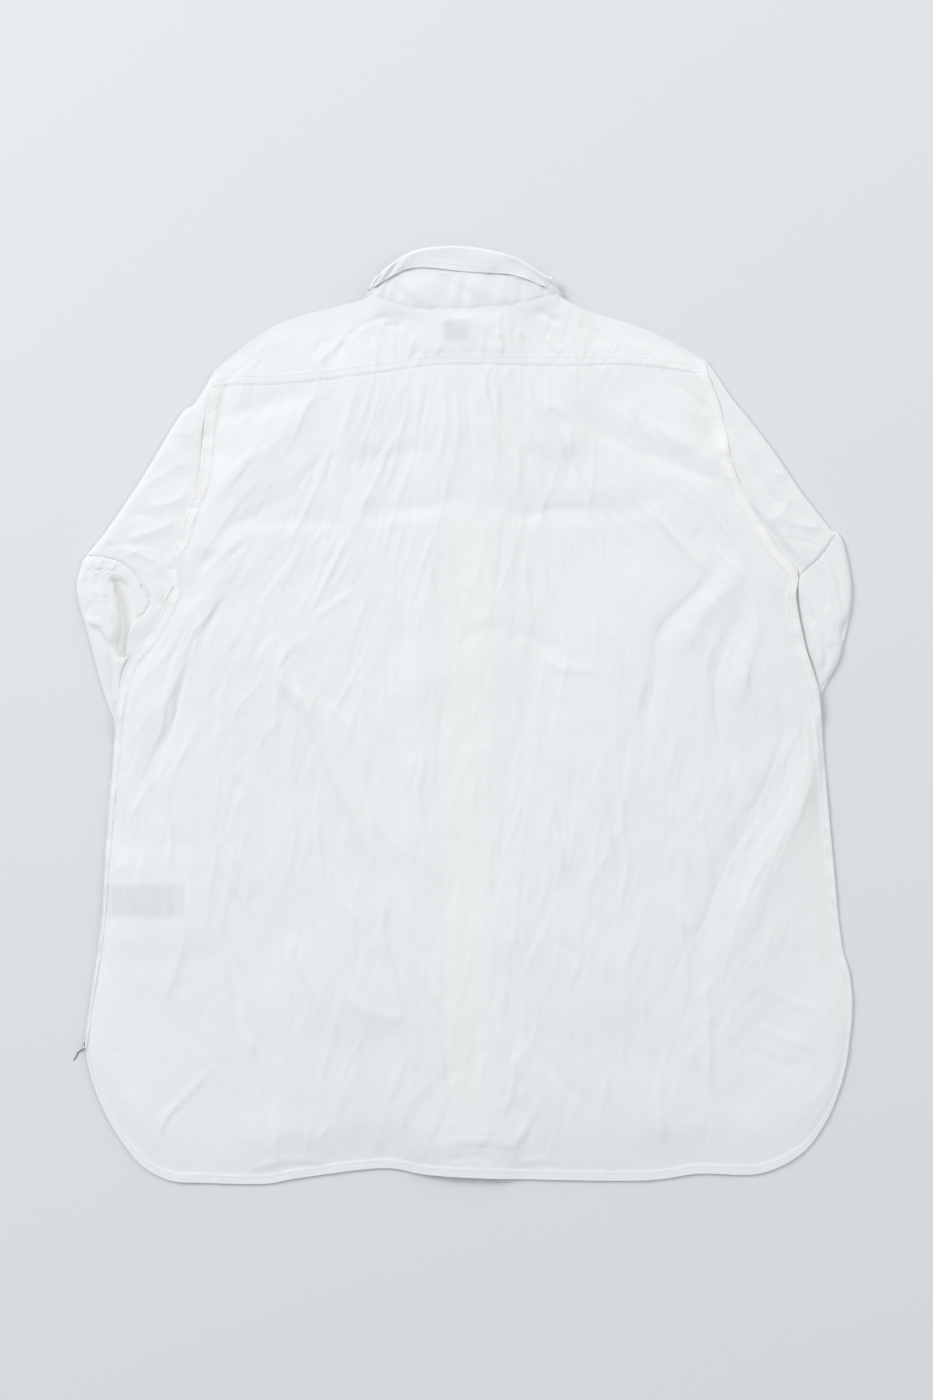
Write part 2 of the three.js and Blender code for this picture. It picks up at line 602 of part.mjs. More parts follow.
// Armhole edge of the body, from the shoulder down to the underarm, just outside the panels.
function armholePoint(side, fraction) {
  const column = side < 0 ? 0 : grid.columns;
  const [x, y] = side < 0 ? outline.leftArmhole[0] : outline.rightArmhole[0];
  const edge = plan.map((line) => line[column]).filter((point) => point.y > y + 4).reverse();
  edge.push(new THREE.Vector2(x, y));
  const lengths = [0];
  for (let k = 1; k < edge.length; k += 1) lengths.push(lengths[k - 1] + edge[k].distanceTo(edge[k - 1]));
  const reach = fraction * lengths[lengths.length - 1];
  const k = Math.max(1, lengths.findIndex((length) => length >= reach - 1e-6));
  const share = (reach - lengths[k - 1]) / (lengths[k] - lengths[k - 1]);
  const point = edge[k - 1].clone().lerp(edge[k], share);
  return new THREE.Vector2(point.x + side * armhole.gap, point.y);
}

// Height of the back's upper face at the armhole, which the sleeve takes up.
function shoulderTopHeight(side, fraction) {
  const column = side < 0 ? 0 : grid.columns;
  const top = grid.bodyRows + grid.yokeRows;
  const row = Math.round(mix(top, grid.bodyRows * (1 - armhole.rowShare), fraction));
  return backUnder(row, column) + cloth.wall;
}

// A flattened tube: rings across the sections, each a loop over the top and back underneath.
function flatTubeGeometry({ sections, rings, height, wall, side, fromArmhole }) {
  const outerEdge = sectionCurve(sections, 'outer');
  const innerEdge = sectionCurve(sections, 'inner');
  const loops = { outside: [], inside: [] };
  for (let ring = 0; ring <= rings; ring += 1) {
    const v = ring / rings;
    const outer = outerEdge.getPoint(v);
    const inner = innerEdge.getPoint(v);
    const width = Math.hypot(outer.x - inner.x, outer.y - inner.y);
    const cover = coverAt(sections, v);
    const atArmhole = fromArmhole ? 1 - smooth(v / armhole.sleeveShare) : 0;
    const place = (fraction, isTop, inset) => {
      const share = mix(inset / width, 1 - inset / width, fraction);
      const x = mix(outer.x, inner.x, share);
      const y = mix(outer.y, inner.y, share);
      const round = Math.sqrt(1 - Math.abs(2 * fraction - 1) ** sleeveCrown.edgePower);
      const half = height / 2 - inset;
      const tuck = 1 - smooth((fraction - cover + sleeveCrown.tuckBefore) / sleeveCrown.tuckOver);
      const crown = Math.min(1, fraction * sleeveCrown.span + sleeveCrown.from);
      let rise = outer.z * Math.sin(Math.PI * crown) * tuck;
      const point = new THREE.Vector3(x, y, 0);
      if (atArmhole > 0) {
        const seam = armholePoint(side, share);
        point.x = mix(x, seam.x, atArmhole);
        point.y = mix(y, seam.y, atArmhole);
        const meet = (shoulderTopHeight(side, share) - height) * tuck;
        rise = mix(rise, Math.max(0, meet), atArmhole);
      }
      point.z = isTop ? height / 2 + half * round + rise * round : height / 2 - half * round;
      return point;
    };
    for (const [name, inset] of [['outside', 0], ['inside', wall]]) {
      const loop = topFractions.map((fraction) => place(fraction, true, inset));
      for (const fraction of bottomFractions) loop.push(place(fraction, false, inset));
      loops[name].push(loop);
    }
  }
  return tubeGeometry(loops.outside, loops.inside, side);
}

function tubeGeometry(outside, inside, side) {
  const rings = outside.length;
  const around = outside[0].length;
  const positions = [];
  for (const layer of [outside, inside]) {
    for (const loop of layer) for (const p of loop) positions.push(p.x, p.y, p.z);
  }
  const at = (layer, ring, k) => (layer * rings + ring) * around + (k % around);
  const index = [];
  const quad = (a, b, c, d) => {
    if (side > 0) index.push(a, c, b, a, d, c);
    else index.push(a, b, c, a, c, d);
  };
  for (let ring = 0; ring + 1 < rings; ring += 1) {
    for (let k = 0; k < around; k += 1) {
      quad(at(0, ring, k), at(0, ring + 1, k), at(0, ring + 1, k + 1), at(0, ring, k + 1));
      quad(at(1, ring, k), at(1, ring, k + 1), at(1, ring + 1, k + 1), at(1, ring + 1, k));
    }
  }
  for (let k = 0; k < around; k += 1) {
    quad(at(0, 0, k), at(0, 0, k + 1), at(1, 0, k + 1), at(1, 0, k));
    quad(at(0, rings - 1, k), at(1, rings - 1, k), at(1, rings - 1, k + 1), at(0, rings - 1, k + 1));
  }
  const geometry = new THREE.BufferGeometry();
  geometry.setAttribute('position', new THREE.Float32BufferAttribute(positions, 3));
  geometry.setIndex(index);
  geometry.computeVertexNormals();
  return geometry;
}

function makeSleeve(sections, side) {
  return flatTubeGeometry({
    sections,
    rings: sleeveRings,
    height: sleeveFlat.height,
    wall: cloth.wall,
    side,
    fromArmhole: true,
  });
}

function makeCuff(sections, side) {
  return flatTubeGeometry({
    sections,
    rings: cuffRings,
    height: sleeveFlat.height,
    wall: cloth.cuffWall,
    side,
    fromArmhole: false,
  });
}

// ---------------------------------------------------------------- collar stand and leaf

// Smooth curve round the neck through one named point of every station.
function stationCurve(name) {
  const points = collarStations.map((station) => new THREE.Vector3(...station[name]));
  return new THREE.CatmullRomCurve3(points, false, 'centripetal');
}

// A wall of even thickness about a grid of middle points.
function thickenedGeometry(middle, wall) {
  const rows = middle.length;
  const columns = middle[0].length;
  const normalAt = (row, column) => {
    const across = middle[row][Math.min(columns - 1, column + 1)].clone()
      .sub(middle[row][Math.max(0, column - 1)]);
    const along = middle[Math.min(rows - 1, row + 1)][column].clone()
      .sub(middle[Math.max(0, row - 1)][column]);
    return across.cross(along).normalize();
  };
  const shifted = (amount) => middle.map((line, row) => line.map((p, column) => (
    p.clone().addScaledVector(normalAt(row, column), amount)
  )));
  return wallGeometry(shifted(wall / 2), shifted(-wall / 2));
}

function makeCollarStand() {
  const base = stationCurve('base');
  const top = stationCurve('top');
  const middle = [];
  for (let row = 0; row <= standRows; row += 1) {
    const line = [];
    for (let step = 0; step <= collarSteps; step += 1) {
      const t = step / collarSteps;
      line.push(base.getPoint(t).lerp(top.getPoint(t), row / standRows));
    }
    middle.push(line);
  }
  return thickenedGeometry(middle, cloth.standWall);
}

function bendAt(t) {
  const place = t * (collarStations.length - 1);
  const k = Math.min(collarStations.length - 2, Math.floor(place));
  return mix(collarStations[k].bend, collarStations[k + 1].bend, place - k);
}

// One section of the leaf: up from the stand, over the roll, and down outside it.
function leafSection(curves, t) {
  const start = curves.top.getPoint(t);
  const crown = curves.roll.getPoint(t);
  const end = curves.edge.getPoint(t);
  const upward = crown.clone().sub(start).normalize();
  const around = curves.top.getTangent(t);
  const outward = around.clone().cross(upward).normalize();
  const radius = bendAt(t);
  start.addScaledVector(upward, leafStart);
  const section = [];
  for (let k = 0; k < leafRiseRows; k += 1) section.push(start.clone().lerp(crown, k / leafRiseRows));
  const centre = crown.clone().addScaledVector(outward, radius);
  for (let k = 0; k <= leafRollRows; k += 1) {
    const angle = Math.PI * k / leafRollRows;
    section.push(centre.clone()
      .addScaledVector(outward, -radius * Math.cos(angle))
      .addScaledVector(upward, radius * Math.sin(angle)));
  }
  const after = centre.clone().addScaledVector(outward, radius);
  for (let k = 1; k <= leafFallRows; k += 1) section.push(after.clone().lerp(end, k / leafFallRows));
  for (const point of section) point.z = Math.max(point.z, cloth.leafWall / 2 + leafClear);
  return section;
}

function makeCollarLeaf() {
  const curves = { top: stationCurve('top'), roll: stationCurve('roll'), edge: stationCurve('edge') };
  const sections = [];
  for (let step = 0; step <= collarSteps; step += 1) {
    sections.push(leafSection(curves, mix(leafEnd, 1 - leafEnd, step / collarSteps)));
  }
  const middle = sections[0].map((_, row) => sections.map((section) => section[row]));
  // Where the collar turns over the shoulder its walls crowd, so the leaf is trimmed clear of the stand.
  const shifts = [[cloth.seamGap, 0], [-cloth.seamGap, 0], [0, cloth.seamGap], [0, -cloth.seamGap]];
  return fromSolid(shifts.reduce(
    (leaf, [x, z]) => leaf.subtract(toSolid(makeCollarStand().translate(x, 0, z))),
    toSolid(thickenedGeometry(middle, cloth.leafWall)),
  ));
}

// ---------------------------------------------------------------- labels and buttons

// Height of a layer between the shared grid's points, on the same two triangles as its cell.
function facetHeight(x, y, heightAt) {
  const inside = (a, b, c) => {
    const area = (b.x - a.x) * (c.y - a.y) - (c.x - a.x) * (b.y - a.y);
    const wb = ((x - a.x) * (c.y - a.y) - (c.x - a.x) * (y - a.y)) / area;
    const wc = ((b.x - a.x) * (y - a.y) - (x - a.x) * (b.y - a.y)) / area;
    return wb >= -1e-6 && wc >= -1e-6 && wb + wc <= 1 + 1e-6 ? [1 - wb - wc, wb, wc] : null;
  };
  for (let row = 0; row + 1 < plan.length; row += 1) {
    for (let column = 0; column < grid.columns; column += 1) {
      const corners = [[row, column], [row, column + 1], [row + 1, column + 1], [row + 1, column]];
      for (const [i, j, k] of [[0, 1, 2], [0, 2, 3]]) {
        const triangle = [corners[i], corners[j], corners[k]];
        const weights = inside(...triangle.map(([r, c]) => plan[r][c]));
        if (weights) return weights.reduce((sum, w, n) => sum + w * heightAt(...triangle[n]), 0);
      }
    }
  }
  return 0;
}

// A label's small wall, following the layer it is sewn to.
function labelGeometry({ x, y, width, height, thick }, underAt) {
  const columns = [0, 1, 2, 3, 4].map((k) => x + (k / 4 - 0.5) * width);
  const rows = [0, 1, 2].map((k) => y + (k / 2 - 0.5) * height);
  const bottom = rows.map((py) => columns.map((px) => new THREE.Vector3(px, py, underAt(px, py))));
  const top = bottom.map((line) => line.map((p) => new THREE.Vector3(p.x, p.y, p.z + thick)));
  return wallGeometry(top, bottom);
}

function makeCareLabel() {
  return labelGeometry(careLabel, (x, y) => facetHeight(x, y, frontTop) + cloth.seamGap);
}

function makeNeckLabel() {
  const below = neckLabel.thick + neckLabel.clear;
  return labelGeometry(neckLabel, (x, y) => facetHeight(x, y, backUnder) - below);
}

// A dished button, its face down.
function makeButton(radius) {
  const { thick, dish, sides } = buttonSize;
  const profile = [
    [0, dish], [radius * 0.6, dish], [radius * 0.74, 0], [radius * 0.94, 0], [radius, 0.5],
    [radius * 0.96, thick], [0, thick],
  ];
  const points = profile.map(([r, z]) => new THREE.Vector2(r, z));
  return new THREE.LatheGeometry(points, sides).rotateX(Math.PI / 2);
}

// ---------------------------------------------------------------- materials

const cotton = () => new THREE.MeshStandardMaterial({ color: 0xefefec, roughness: 0.92, metalness: 0 });
const tape = () => new THREE.MeshStandardMaterial({ color: 0xd9dee2, roughness: 0.85, metalness: 0 });
const resin = () => new THREE.MeshStandardMaterial({ color: 0xf4f2ea, roughness: 0.35, metalness: 0 });

// ---------------------------------------------------------------- the garment

const shirt = new THREE.Group();

function add(name, geometry, material) {
  const mesh = new THREE.Mesh(geometry, material);
  mesh.name = name;
  shirt.add(mesh);
  return mesh;
}

add('back', makeBack(), cotton());
add('yoke', makeYoke(), cotton());
add('front_left', makeFrontLeft(), cotton());
add('front_right', makeFrontRight(), cotton());
add('placket', makePlacket(), cotton());
add('collar_stand', makeCollarStand(), cotton());
add('collar_leaf', makeCollarLeaf(), cotton());
add('sleeve_left', makeSleeve(leftSleeveSections, -1), cotton());
add('sleeve_right', makeSleeve(rightSleeveSections, 1), cotton());
add('cuff_left', makeCuff(leftCuffSections, -1), cotton());
add('cuff_right', makeCuff(rightCuffSections, 1), cotton());
add('care_label', makeCareLabel(), tape());
add('neck_label', makeNeckLabel(), tape());

for (let k = 0; k < frontButtons.count; k += 1) {
  const button = add(`button_front_${k + 1}`, makeButton(buttonSize.radius), resin());
  const y = frontButtons.first + k * frontButtons.step;
  const height = facetHeight(band.centre, y, lowestUnder);
  button.position.set(band.centre, y, height - cloth.seamGap - buttonSize.thick);
}

const collarButton = add('button_collar', makeButton(buttonSize.collarRadius), resin());
const standUnder = collarStations[0].base[2] - cloth.standWall / 2;
collarButton.position.set(0, collarButtonY, standUnder - cloth.seamGap - buttonSize.thick);

for (const { name, x, y } of cuffButtons) {
  const button = add(`button_cuff_${name}`, makeButton(buttonSize.radius), resin());
  button.rotation.x = Math.PI;
  button.position.set(x, y, sleeveFlat.height + cloth.seamGap + buttonSize.thick);
}

// The origin is on the surface, under the middle of the outline.
shirt.updateMatrixWorld(true);
const outlineBox = new THREE.Box3().setFromObject(shirt);
const middle = outlineBox.getCenter(new THREE.Vector3());
shirt.position.set(-middle.x, -middle.y, -outlineBox.min.z);

export default shirt;
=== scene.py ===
import math

import bpy
import numpy as np
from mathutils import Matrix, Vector


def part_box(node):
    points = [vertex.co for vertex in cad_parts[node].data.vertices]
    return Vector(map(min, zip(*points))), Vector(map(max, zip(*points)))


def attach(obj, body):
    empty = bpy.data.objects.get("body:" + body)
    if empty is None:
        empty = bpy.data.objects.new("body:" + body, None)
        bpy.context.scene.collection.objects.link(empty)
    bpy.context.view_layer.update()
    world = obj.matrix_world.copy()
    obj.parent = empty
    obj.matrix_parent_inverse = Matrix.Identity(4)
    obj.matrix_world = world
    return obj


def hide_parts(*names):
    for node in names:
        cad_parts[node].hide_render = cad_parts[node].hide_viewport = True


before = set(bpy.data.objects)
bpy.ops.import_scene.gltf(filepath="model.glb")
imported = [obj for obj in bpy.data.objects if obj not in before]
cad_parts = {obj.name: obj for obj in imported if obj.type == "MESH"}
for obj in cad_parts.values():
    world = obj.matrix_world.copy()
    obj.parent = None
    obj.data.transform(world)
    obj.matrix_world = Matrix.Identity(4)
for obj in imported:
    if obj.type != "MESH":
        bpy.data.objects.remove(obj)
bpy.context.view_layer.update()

mm = 0.001
rng = np.random.default_rng(41)

# The shirt is worked out in millimetres, x towards the wearer's right and y from hem to collar.
# Its left and right are the wearer's; it lies face down, so the back is the layer that shows.

cloth = {
    "ply": 0.55,          # how thick one layer of shirting looks
    "placketPly": 0.8,
    "standPly": 1.3,
    "leafPly": 1.0,
    "cuffPly": 1.0,
    "cadPly": 1.2,        # the solids' own wall, on which the layers are stacked
    "gap": 0.3,
}

outline = {
    "leftSide": [(-337, -290), (-332, -250), (-322, -180), (-318, -110), (-312, -40), (-309, 5),
                 (-300, 46), (-277, 78), (-260, 113), (-263, 133)],
    "leftArmhole": [(-254, 157), (-245, 185), (-236, 208), (-232, 240), (-230, 262), (-224, 292)],
    "rightSide": [(341, -302), (345, -262), (343, -231), (335, -198), (327, -116), (320, -39), (315, 20),
                  (303, 62), (295, 103), (296, 128)],
    "rightArmhole": [(278, 150), (263, 174), (252, 192), (238, 223), (232, 255), (225, 282), (216, 304)],
    "hem": [(-337, -290), (-334, -312), (-325, -340), (-308, -373), (-286, -400), (-262, -413), (-235, -415),
            (-178, -416), (-148, -411), (-73, -402), (-30, -408), (60, -412), (160, -413), (208, -407),
            (262, -407), (300, -389), (322, -360), (335, -328), (341, -302)],
    "yokeSeam": [(-224, 292), (-206, 295), (-153, 297), (-82, 305), (-15, 313), (94, 312), (150, 313),
                 (216, 304)],
    "leftTip": [(-224, 292), (-222, 307)],
    "rightTip": [(216, 304), (215, 316)],
    "shoulders": [(-222, 307), (-196, 329), (-165, 349), (-134, 359), (-100, 367), (-84, 371), (-70, 366.4),
                  (-43, 360.4), (0, 359.6), (43, 363.4), (70, 369.4), (84, 372), (108, 361), (150, 348),
                  (182, 334), (215, 316)],
}
weft = {
    "columns": 30, "bandColumn": 14, "bandEndColumn": 16, "seamRow": 31, "topRow": 35,
    "fine": 186, "rows": 204,              # columns of each half and rows of the body
    "rowPitch": 23.2, "yokePitch": 15,     # millimetres to a row
}
# close rows beside hems and felled seams
edgeMarks = [0, 0.04, 0.12, 0.24, 0.34, 0.39, 0.43, 0.48, 0.56, 0.66]
band = {"centre": 2, "halfWidth": 20}
buttons = {"radius": 5.6, "collarRadius": 4.4, "thick": 2.3, "firstY": 235, "stepY": -96, "count": 6}
buttonSpots = {"collar": (0, 310), "cuffLeft": (-100, -236), "cuffRight": (110, -236)}
careLabel = {"x": -283, "y": -164, "width": 70, "height": 29}
neckLabel = {"x": -7, "y": 341, "width": 22, "height": 19}

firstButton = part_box("button_front_1")
originX = (firstButton[0].x + firstButton[1].x) / 2 / mm - band["centre"]
originY = (firstButton[0].y + firstButton[1].y) / 2 / mm - buttons["firstY"]


def smooth(t):
    t = np.clip(t, 0, 1)
    return t * t * (3 - 2 * t)


def mixed(a, b, t):
    return a + (b - a) * t


def curve(points, count=400):
    # a smooth line through the points
    p = np.array(points, float)
    last = len(p) - 1
    t = np.linspace(0, last, count + 1)
    k = np.minimum(t.astype(int), last - 1)
    w = (t - k)[:, None]
    before, start, end, after = p[np.maximum(k - 1, 0)], p[k], p[k + 1], p[np.minimum(k + 2, last)]
    leave, arrive = (end - before) / 2, (after - start) / 2
    return ((2 * start - 2 * end + leave + arrive) * w ** 3
            + (3 * end - 3 * start - 2 * leave - arrive) * w ** 2 + leave * w + start)


def shares(line):
    steps = np.linalg.norm(np.diff(line, axis=0), axis=1)
    length = np.concatenate([[0], np.cumsum(steps)])
    return length / length[-1]


def along(line, places):
    share = shares(line)
    return np.stack([np.interp(places, share, line[:, k]) for k in range(line.shape[1])], -1)


# the body's shared grid: every panel takes its points from it, so the layers nest

def acrossBody(points, columns):
    line = curve(points)
    share = shares(line)
    start = np.interp(band["centre"] - band["halfWidth"], line[:, 0], share)
    end = np.interp(band["centre"] + band["halfWidth"], line[:, 0], share)
    marks = [0, weft["bandColumn"], weft["bandEndColumn"], weft["columns"]]
    return along(line, np.interp(columns, marks, [0, start, end, 1]))


def filled(low, high, left, right, across, up):
    # a patch between four edges
    u = across[None, :, None]
    v = up[:, None, None]
    edges = low[None] * (1 - v) + high[None] * v + left[:, None] * (1 - u) + right[:, None] * u
    lowCorners = low[0] * (1 - u) + low[-1] * u
    highCorners = high[0] * (1 - u) + high[-1] * u
    return edges - lowCorners * (1 - v) - highCorners * v


def bodyGrid():
    half = np.concatenate([edgeMarks, np.linspace(0.78, weft["bandColumn"], weft["fine"])])
    columns = np.concatenate([half, np.linspace(weft["bandColumn"], weft["bandEndColumn"], 19)[1:-1],
                              weft["columns"] - half[::-1]])
    bodyRows = np.concatenate([edgeMarks, np.linspace(0.78, weft["seamRow"] - 0.3, weft["rows"]),
                               weft["seamRow"] - np.array([0.2, 0.12, 0.06, 0])])
    yokeRows = np.concatenate([[0, 0.06, 0.12, 0.24, 0.4],
                               np.linspace(0.5, weft["topRow"] - weft["seamRow"], 34)])
    seam = acrossBody(outline["yokeSeam"], columns)
    left = curve(outline["leftSide"] + outline["leftArmhole"])
    right = curve(outline["rightSide"] + outline["rightArmhole"])
    up = bodyRows / weft["seamRow"]
    body = filled(acrossBody(outline["hem"], columns), seam, along(left, up), along(right, up),
                  columns / weft["columns"], up)
    up = yokeRows / yokeRows[-1]
    yoke = filled(seam, acrossBody(outline["shoulders"], columns), along(curve(outline["leftTip"]), up),
                  along(curve(outline["rightTip"]), up), columns / weft["columns"], up)
    points = np.concatenate([body, yoke[1:]])
    x = points[..., 0]
    start, end = weft["bandColumn"], weft["bandEndColumn"]
    shiftLeft = band["centre"] - band["halfWidth"] - x[:, np.searchsorted(columns, start)]
    shiftRight = band["centre"] + band["halfWidth"] - x[:, np.searchsorted(columns, end)]
    before = shiftLeft[:, None] * columns / start
    beyond = shiftRight[:, None] * (weft["columns"] - columns) / (weft["columns"] - end)
    inBand = mixed(band["centre"] - band["halfWidth"], band["centre"] + band["halfWidth"],
                   (columns - start) / (end - start)) - x
    points[..., 0] = x + np.where(columns <= start, before, np.where(columns >= end, beyond, inBand))
    rows = np.concatenate([bodyRows, weft["seamRow"] + yokeRows[1:]])
    return (points[..., 0], points[..., 1], np.broadcast_to(columns, x.shape),
            np.broadcast_to(rows[:, None], x.shape))


gridX, gridY, gridColumn, gridRow = bodyGrid()
print("body grid", gridX.shape)

# sleeves, flat under the body

leftSleeve = [  # outer edge, underarm edge
    ((-222, 307), (-263, 133)), ((-252, 268), (-262, 124)), ((-287, 211), (-257, 113)),
    ((-318, 167), (-250, 103)), ((-337, 141), (-240, 94)), ((-344, 112), (-228, 88)),
    ((-334, 72), (-214, 84)), ((-318, 15), (-190, 80)), ((-290, -50), (-160, 32)),
    ((-252, -112), (-127, -32)), ((-212, -170), (-92, -102)), ((-167, -226), (-53, -171)),
]
rightSleeve = [
    ((215, 316), (296, 128)), ((246, 276), (296, 120)), ((277, 235), (292, 110)),
    ((304, 197), (286, 101)), ((331, 162), (277, 93)), ((342, 133), (266, 88)),
    ((344, 108), (254, 85)), ((335, 58), (224, 92)), ((313, 10), (196, 84)),
    ((284, -45), (166, 42)), ((250, -102), (138, -15)), ((214, -160), (102, -88)),
    ((177, -224), (63, -172)),
]
leftCuff = [((-163.2, -228.6), (-56.8, -178.6)), ((-149, -258), (-43, -208)), ((-135, -287), (-29, -237))]
rightCuff = [((173.2, -229.2), (67.2, -179.2)), ((159, -258), (53, -208)), ((145, -287), (39, -237))]
sleeveFlat = {"height": 4.2, "clear": 0.5, "lifted": 16, "ramp": 28, "flatness": 9}


def outsideSleeve(x, y, sections):
    nearest = np.full(np.shape(x), 1e9)
    for k in range(2, len(sections) - 1):
        outerA, innerA = np.array(sections[k], float)
        outerB, innerB = np.array(sections[k + 1], float)
        a, b = (outerA + innerA) / 2, (outerB + innerB) / 2
        length = np.linalg.norm(b - a)
        d = (b - a) / length
        far = (x - a[0]) * d[0] + (y - a[1]) * d[1]
        across = np.abs((x - a[0]) * d[1] - (y - a[1]) * d[0])
        t = np.clip(far / length, 0, 1)
        half = mixed(np.linalg.norm(outerA - innerA), np.linalg.norm(outerB - innerB), t) / 2
        reach = np.hypot(across, far - t * length) - half
        if k == len(sections) - 2:
            reach = np.where(far > length, np.maximum(across - half, far - length), reach)
        nearest = np.minimum(nearest, reach)
    return nearest


def armDistance(x, y):
    left = outsideSleeve(x, y, leftSleeve + leftCuff[1:])
    return np.minimum(left, outsideSleeve(x, y, rightSleeve + rightCuff[1:]))


# how high the layers lie

bandRest = {"over": 0.5, "beside": 2, "ramp": 34}
cuffRest = {"rise": 2.7, "reach": 24, "ramp": 28}
collarRest = {"rise": 2.8, "halfWidth": 96, "from": 246, "ramp": 26}
labelRest = {"rise": 1.15, "reach": 16, "ramp": 24}
bandOverlap = 1.7
draped = {"ramp": 105, "bandRamp": 70, "buttonRamp": 64}     # the back spans the layers in longer slopes
droop = {"highest": 3.9, "share": 0.92, "reach": 9, "leftFrom": -8, "rightFrom": 4, "ramp": 14}


def sleeveLift(x, y, ramp=sleeveFlat["ramp"]):
    share = smooth(1 - (armDistance(x, y) - sleeveFlat["lifted"]) / ramp)
    return (sleeveFlat["height"] + sleeveFlat["clear"]) * share


def cuffButtonLift(x, y, ramp=cuffRest["ramp"]):
    spots = [buttonSpots["cuffLeft"], buttonSpots["cuffRight"]]
    nearest = np.minimum(*[np.hypot(x - sx, y - sy) for sx, sy in spots])
    return cuffRest["rise"] * smooth(1 - (nearest - cuffRest["reach"]) / ramp)


def bandLift(x, ramp=bandRest["ramp"]):
    outside = np.abs(x - band["centre"]) - band["halfWidth"] - bandRest["beside"]
    return (buttons["thick"] + bandRest["over"]) * smooth(1 - outside / ramp)


def collarLift(x, y):
    across = smooth(1 - (np.abs(x) - collarRest["halfWidth"]) / collarRest["ramp"])
    return collarRest["rise"] * across * smooth(1 + (y - collarRest["from"]) / collarRest["ramp"])


def frontUnder(x, y):
    return np.maximum(np.maximum(sleeveLift(x, y) + cuffButtonLift(x, y), bandLift(x)), collarLift(x, y))


def overBand(column):
    # the right front's edge lies over the button band
    inside = (column >= weft["bandColumn"] - 1e-6) & (column <= weft["bandEndColumn"] + 1)
    return np.where(inside, bandOverlap * smooth(weft["bandEndColumn"] + 1 - column), 0)


def frontTop(x, y, column):
    return frontUnder(x, y) + cloth["cadPly"] + overBand(column)


def careLabelLift(x, y):
    outsideX = np.abs(x - careLabel["x"]) - careLabel["width"] / 2 - labelRest["reach"]
    outsideY = np.abs(y - careLabel["y"]) - careLabel["height"] / 2 - labelRest["reach"]
    across = smooth(1 - outsideX / labelRest["ramp"])
    return labelRest["rise"] * across * smooth(1 - outsideY / labelRest["ramp"])


def backUnder(x, y, column):
    # the back bridges what lies under it, except along its side seams
    tight = frontTop(x, y, column)
    arms = sleeveLift(x, y, draped["ramp"]) + cuffButtonLift(x, y, draped["buttonRamp"])
    middle = bandLift(x, draped["bandRamp"])
    over = bandOverlap * smooth(column - weft["bandColumn"] + 2)
    over = over * smooth((weft["bandEndColumn"] + 2.5 - column) / 2.5)
    loose = np.maximum(np.maximum(arms, middle), collarLift(x, y)) + cloth["cadPly"] + over
    inside = smooth(np.minimum(column, weft["columns"] - column) / 3) * smooth((y + 412) / 50)
    return np.maximum(tight, mixed(tight, loose, inside))


def bodyGap(x, y, side):
    # how far outside the body's side seam a point lies
    line = curve(outline["leftSide" if side < 0 else "rightSide"])
    return side * (x - np.interp(y, line[:, 1], line[:, 0]))


def edgeDroop(x, y, under, fromEdge):
    # the side seams hang to the surface below the elbows
    below = smooth((np.where(x < 0, droop["leftFrom"], droop["rightFrom"]) - y) / droop["ramp"])
    return np.minimum(under, droop["highest"]) * droop["share"] * smooth(1 - fromEdge / droop["reach"]) * below


neckLine = {"side": 6, "rise": 7, "halfWidth": 85, "outside": 26, "blend": 30}


def neckSeamHeight(x, sharp=1):
    # round at the seam itself, a softer hill further down the yoke
    t = np.minimum(1, np.abs(x) / neckLine["halfWidth"])
    reach = neckLine["halfWidth"] + neckLine["outside"]
    hill = smooth((reach - np.abs(x)) / reach)
    return neckLine["side"] + neckLine["rise"] * mixed(hill, np.sqrt(1 - t * t), sharp)


# creases, walked from their first point to their last: width on the left, on the right, and rise

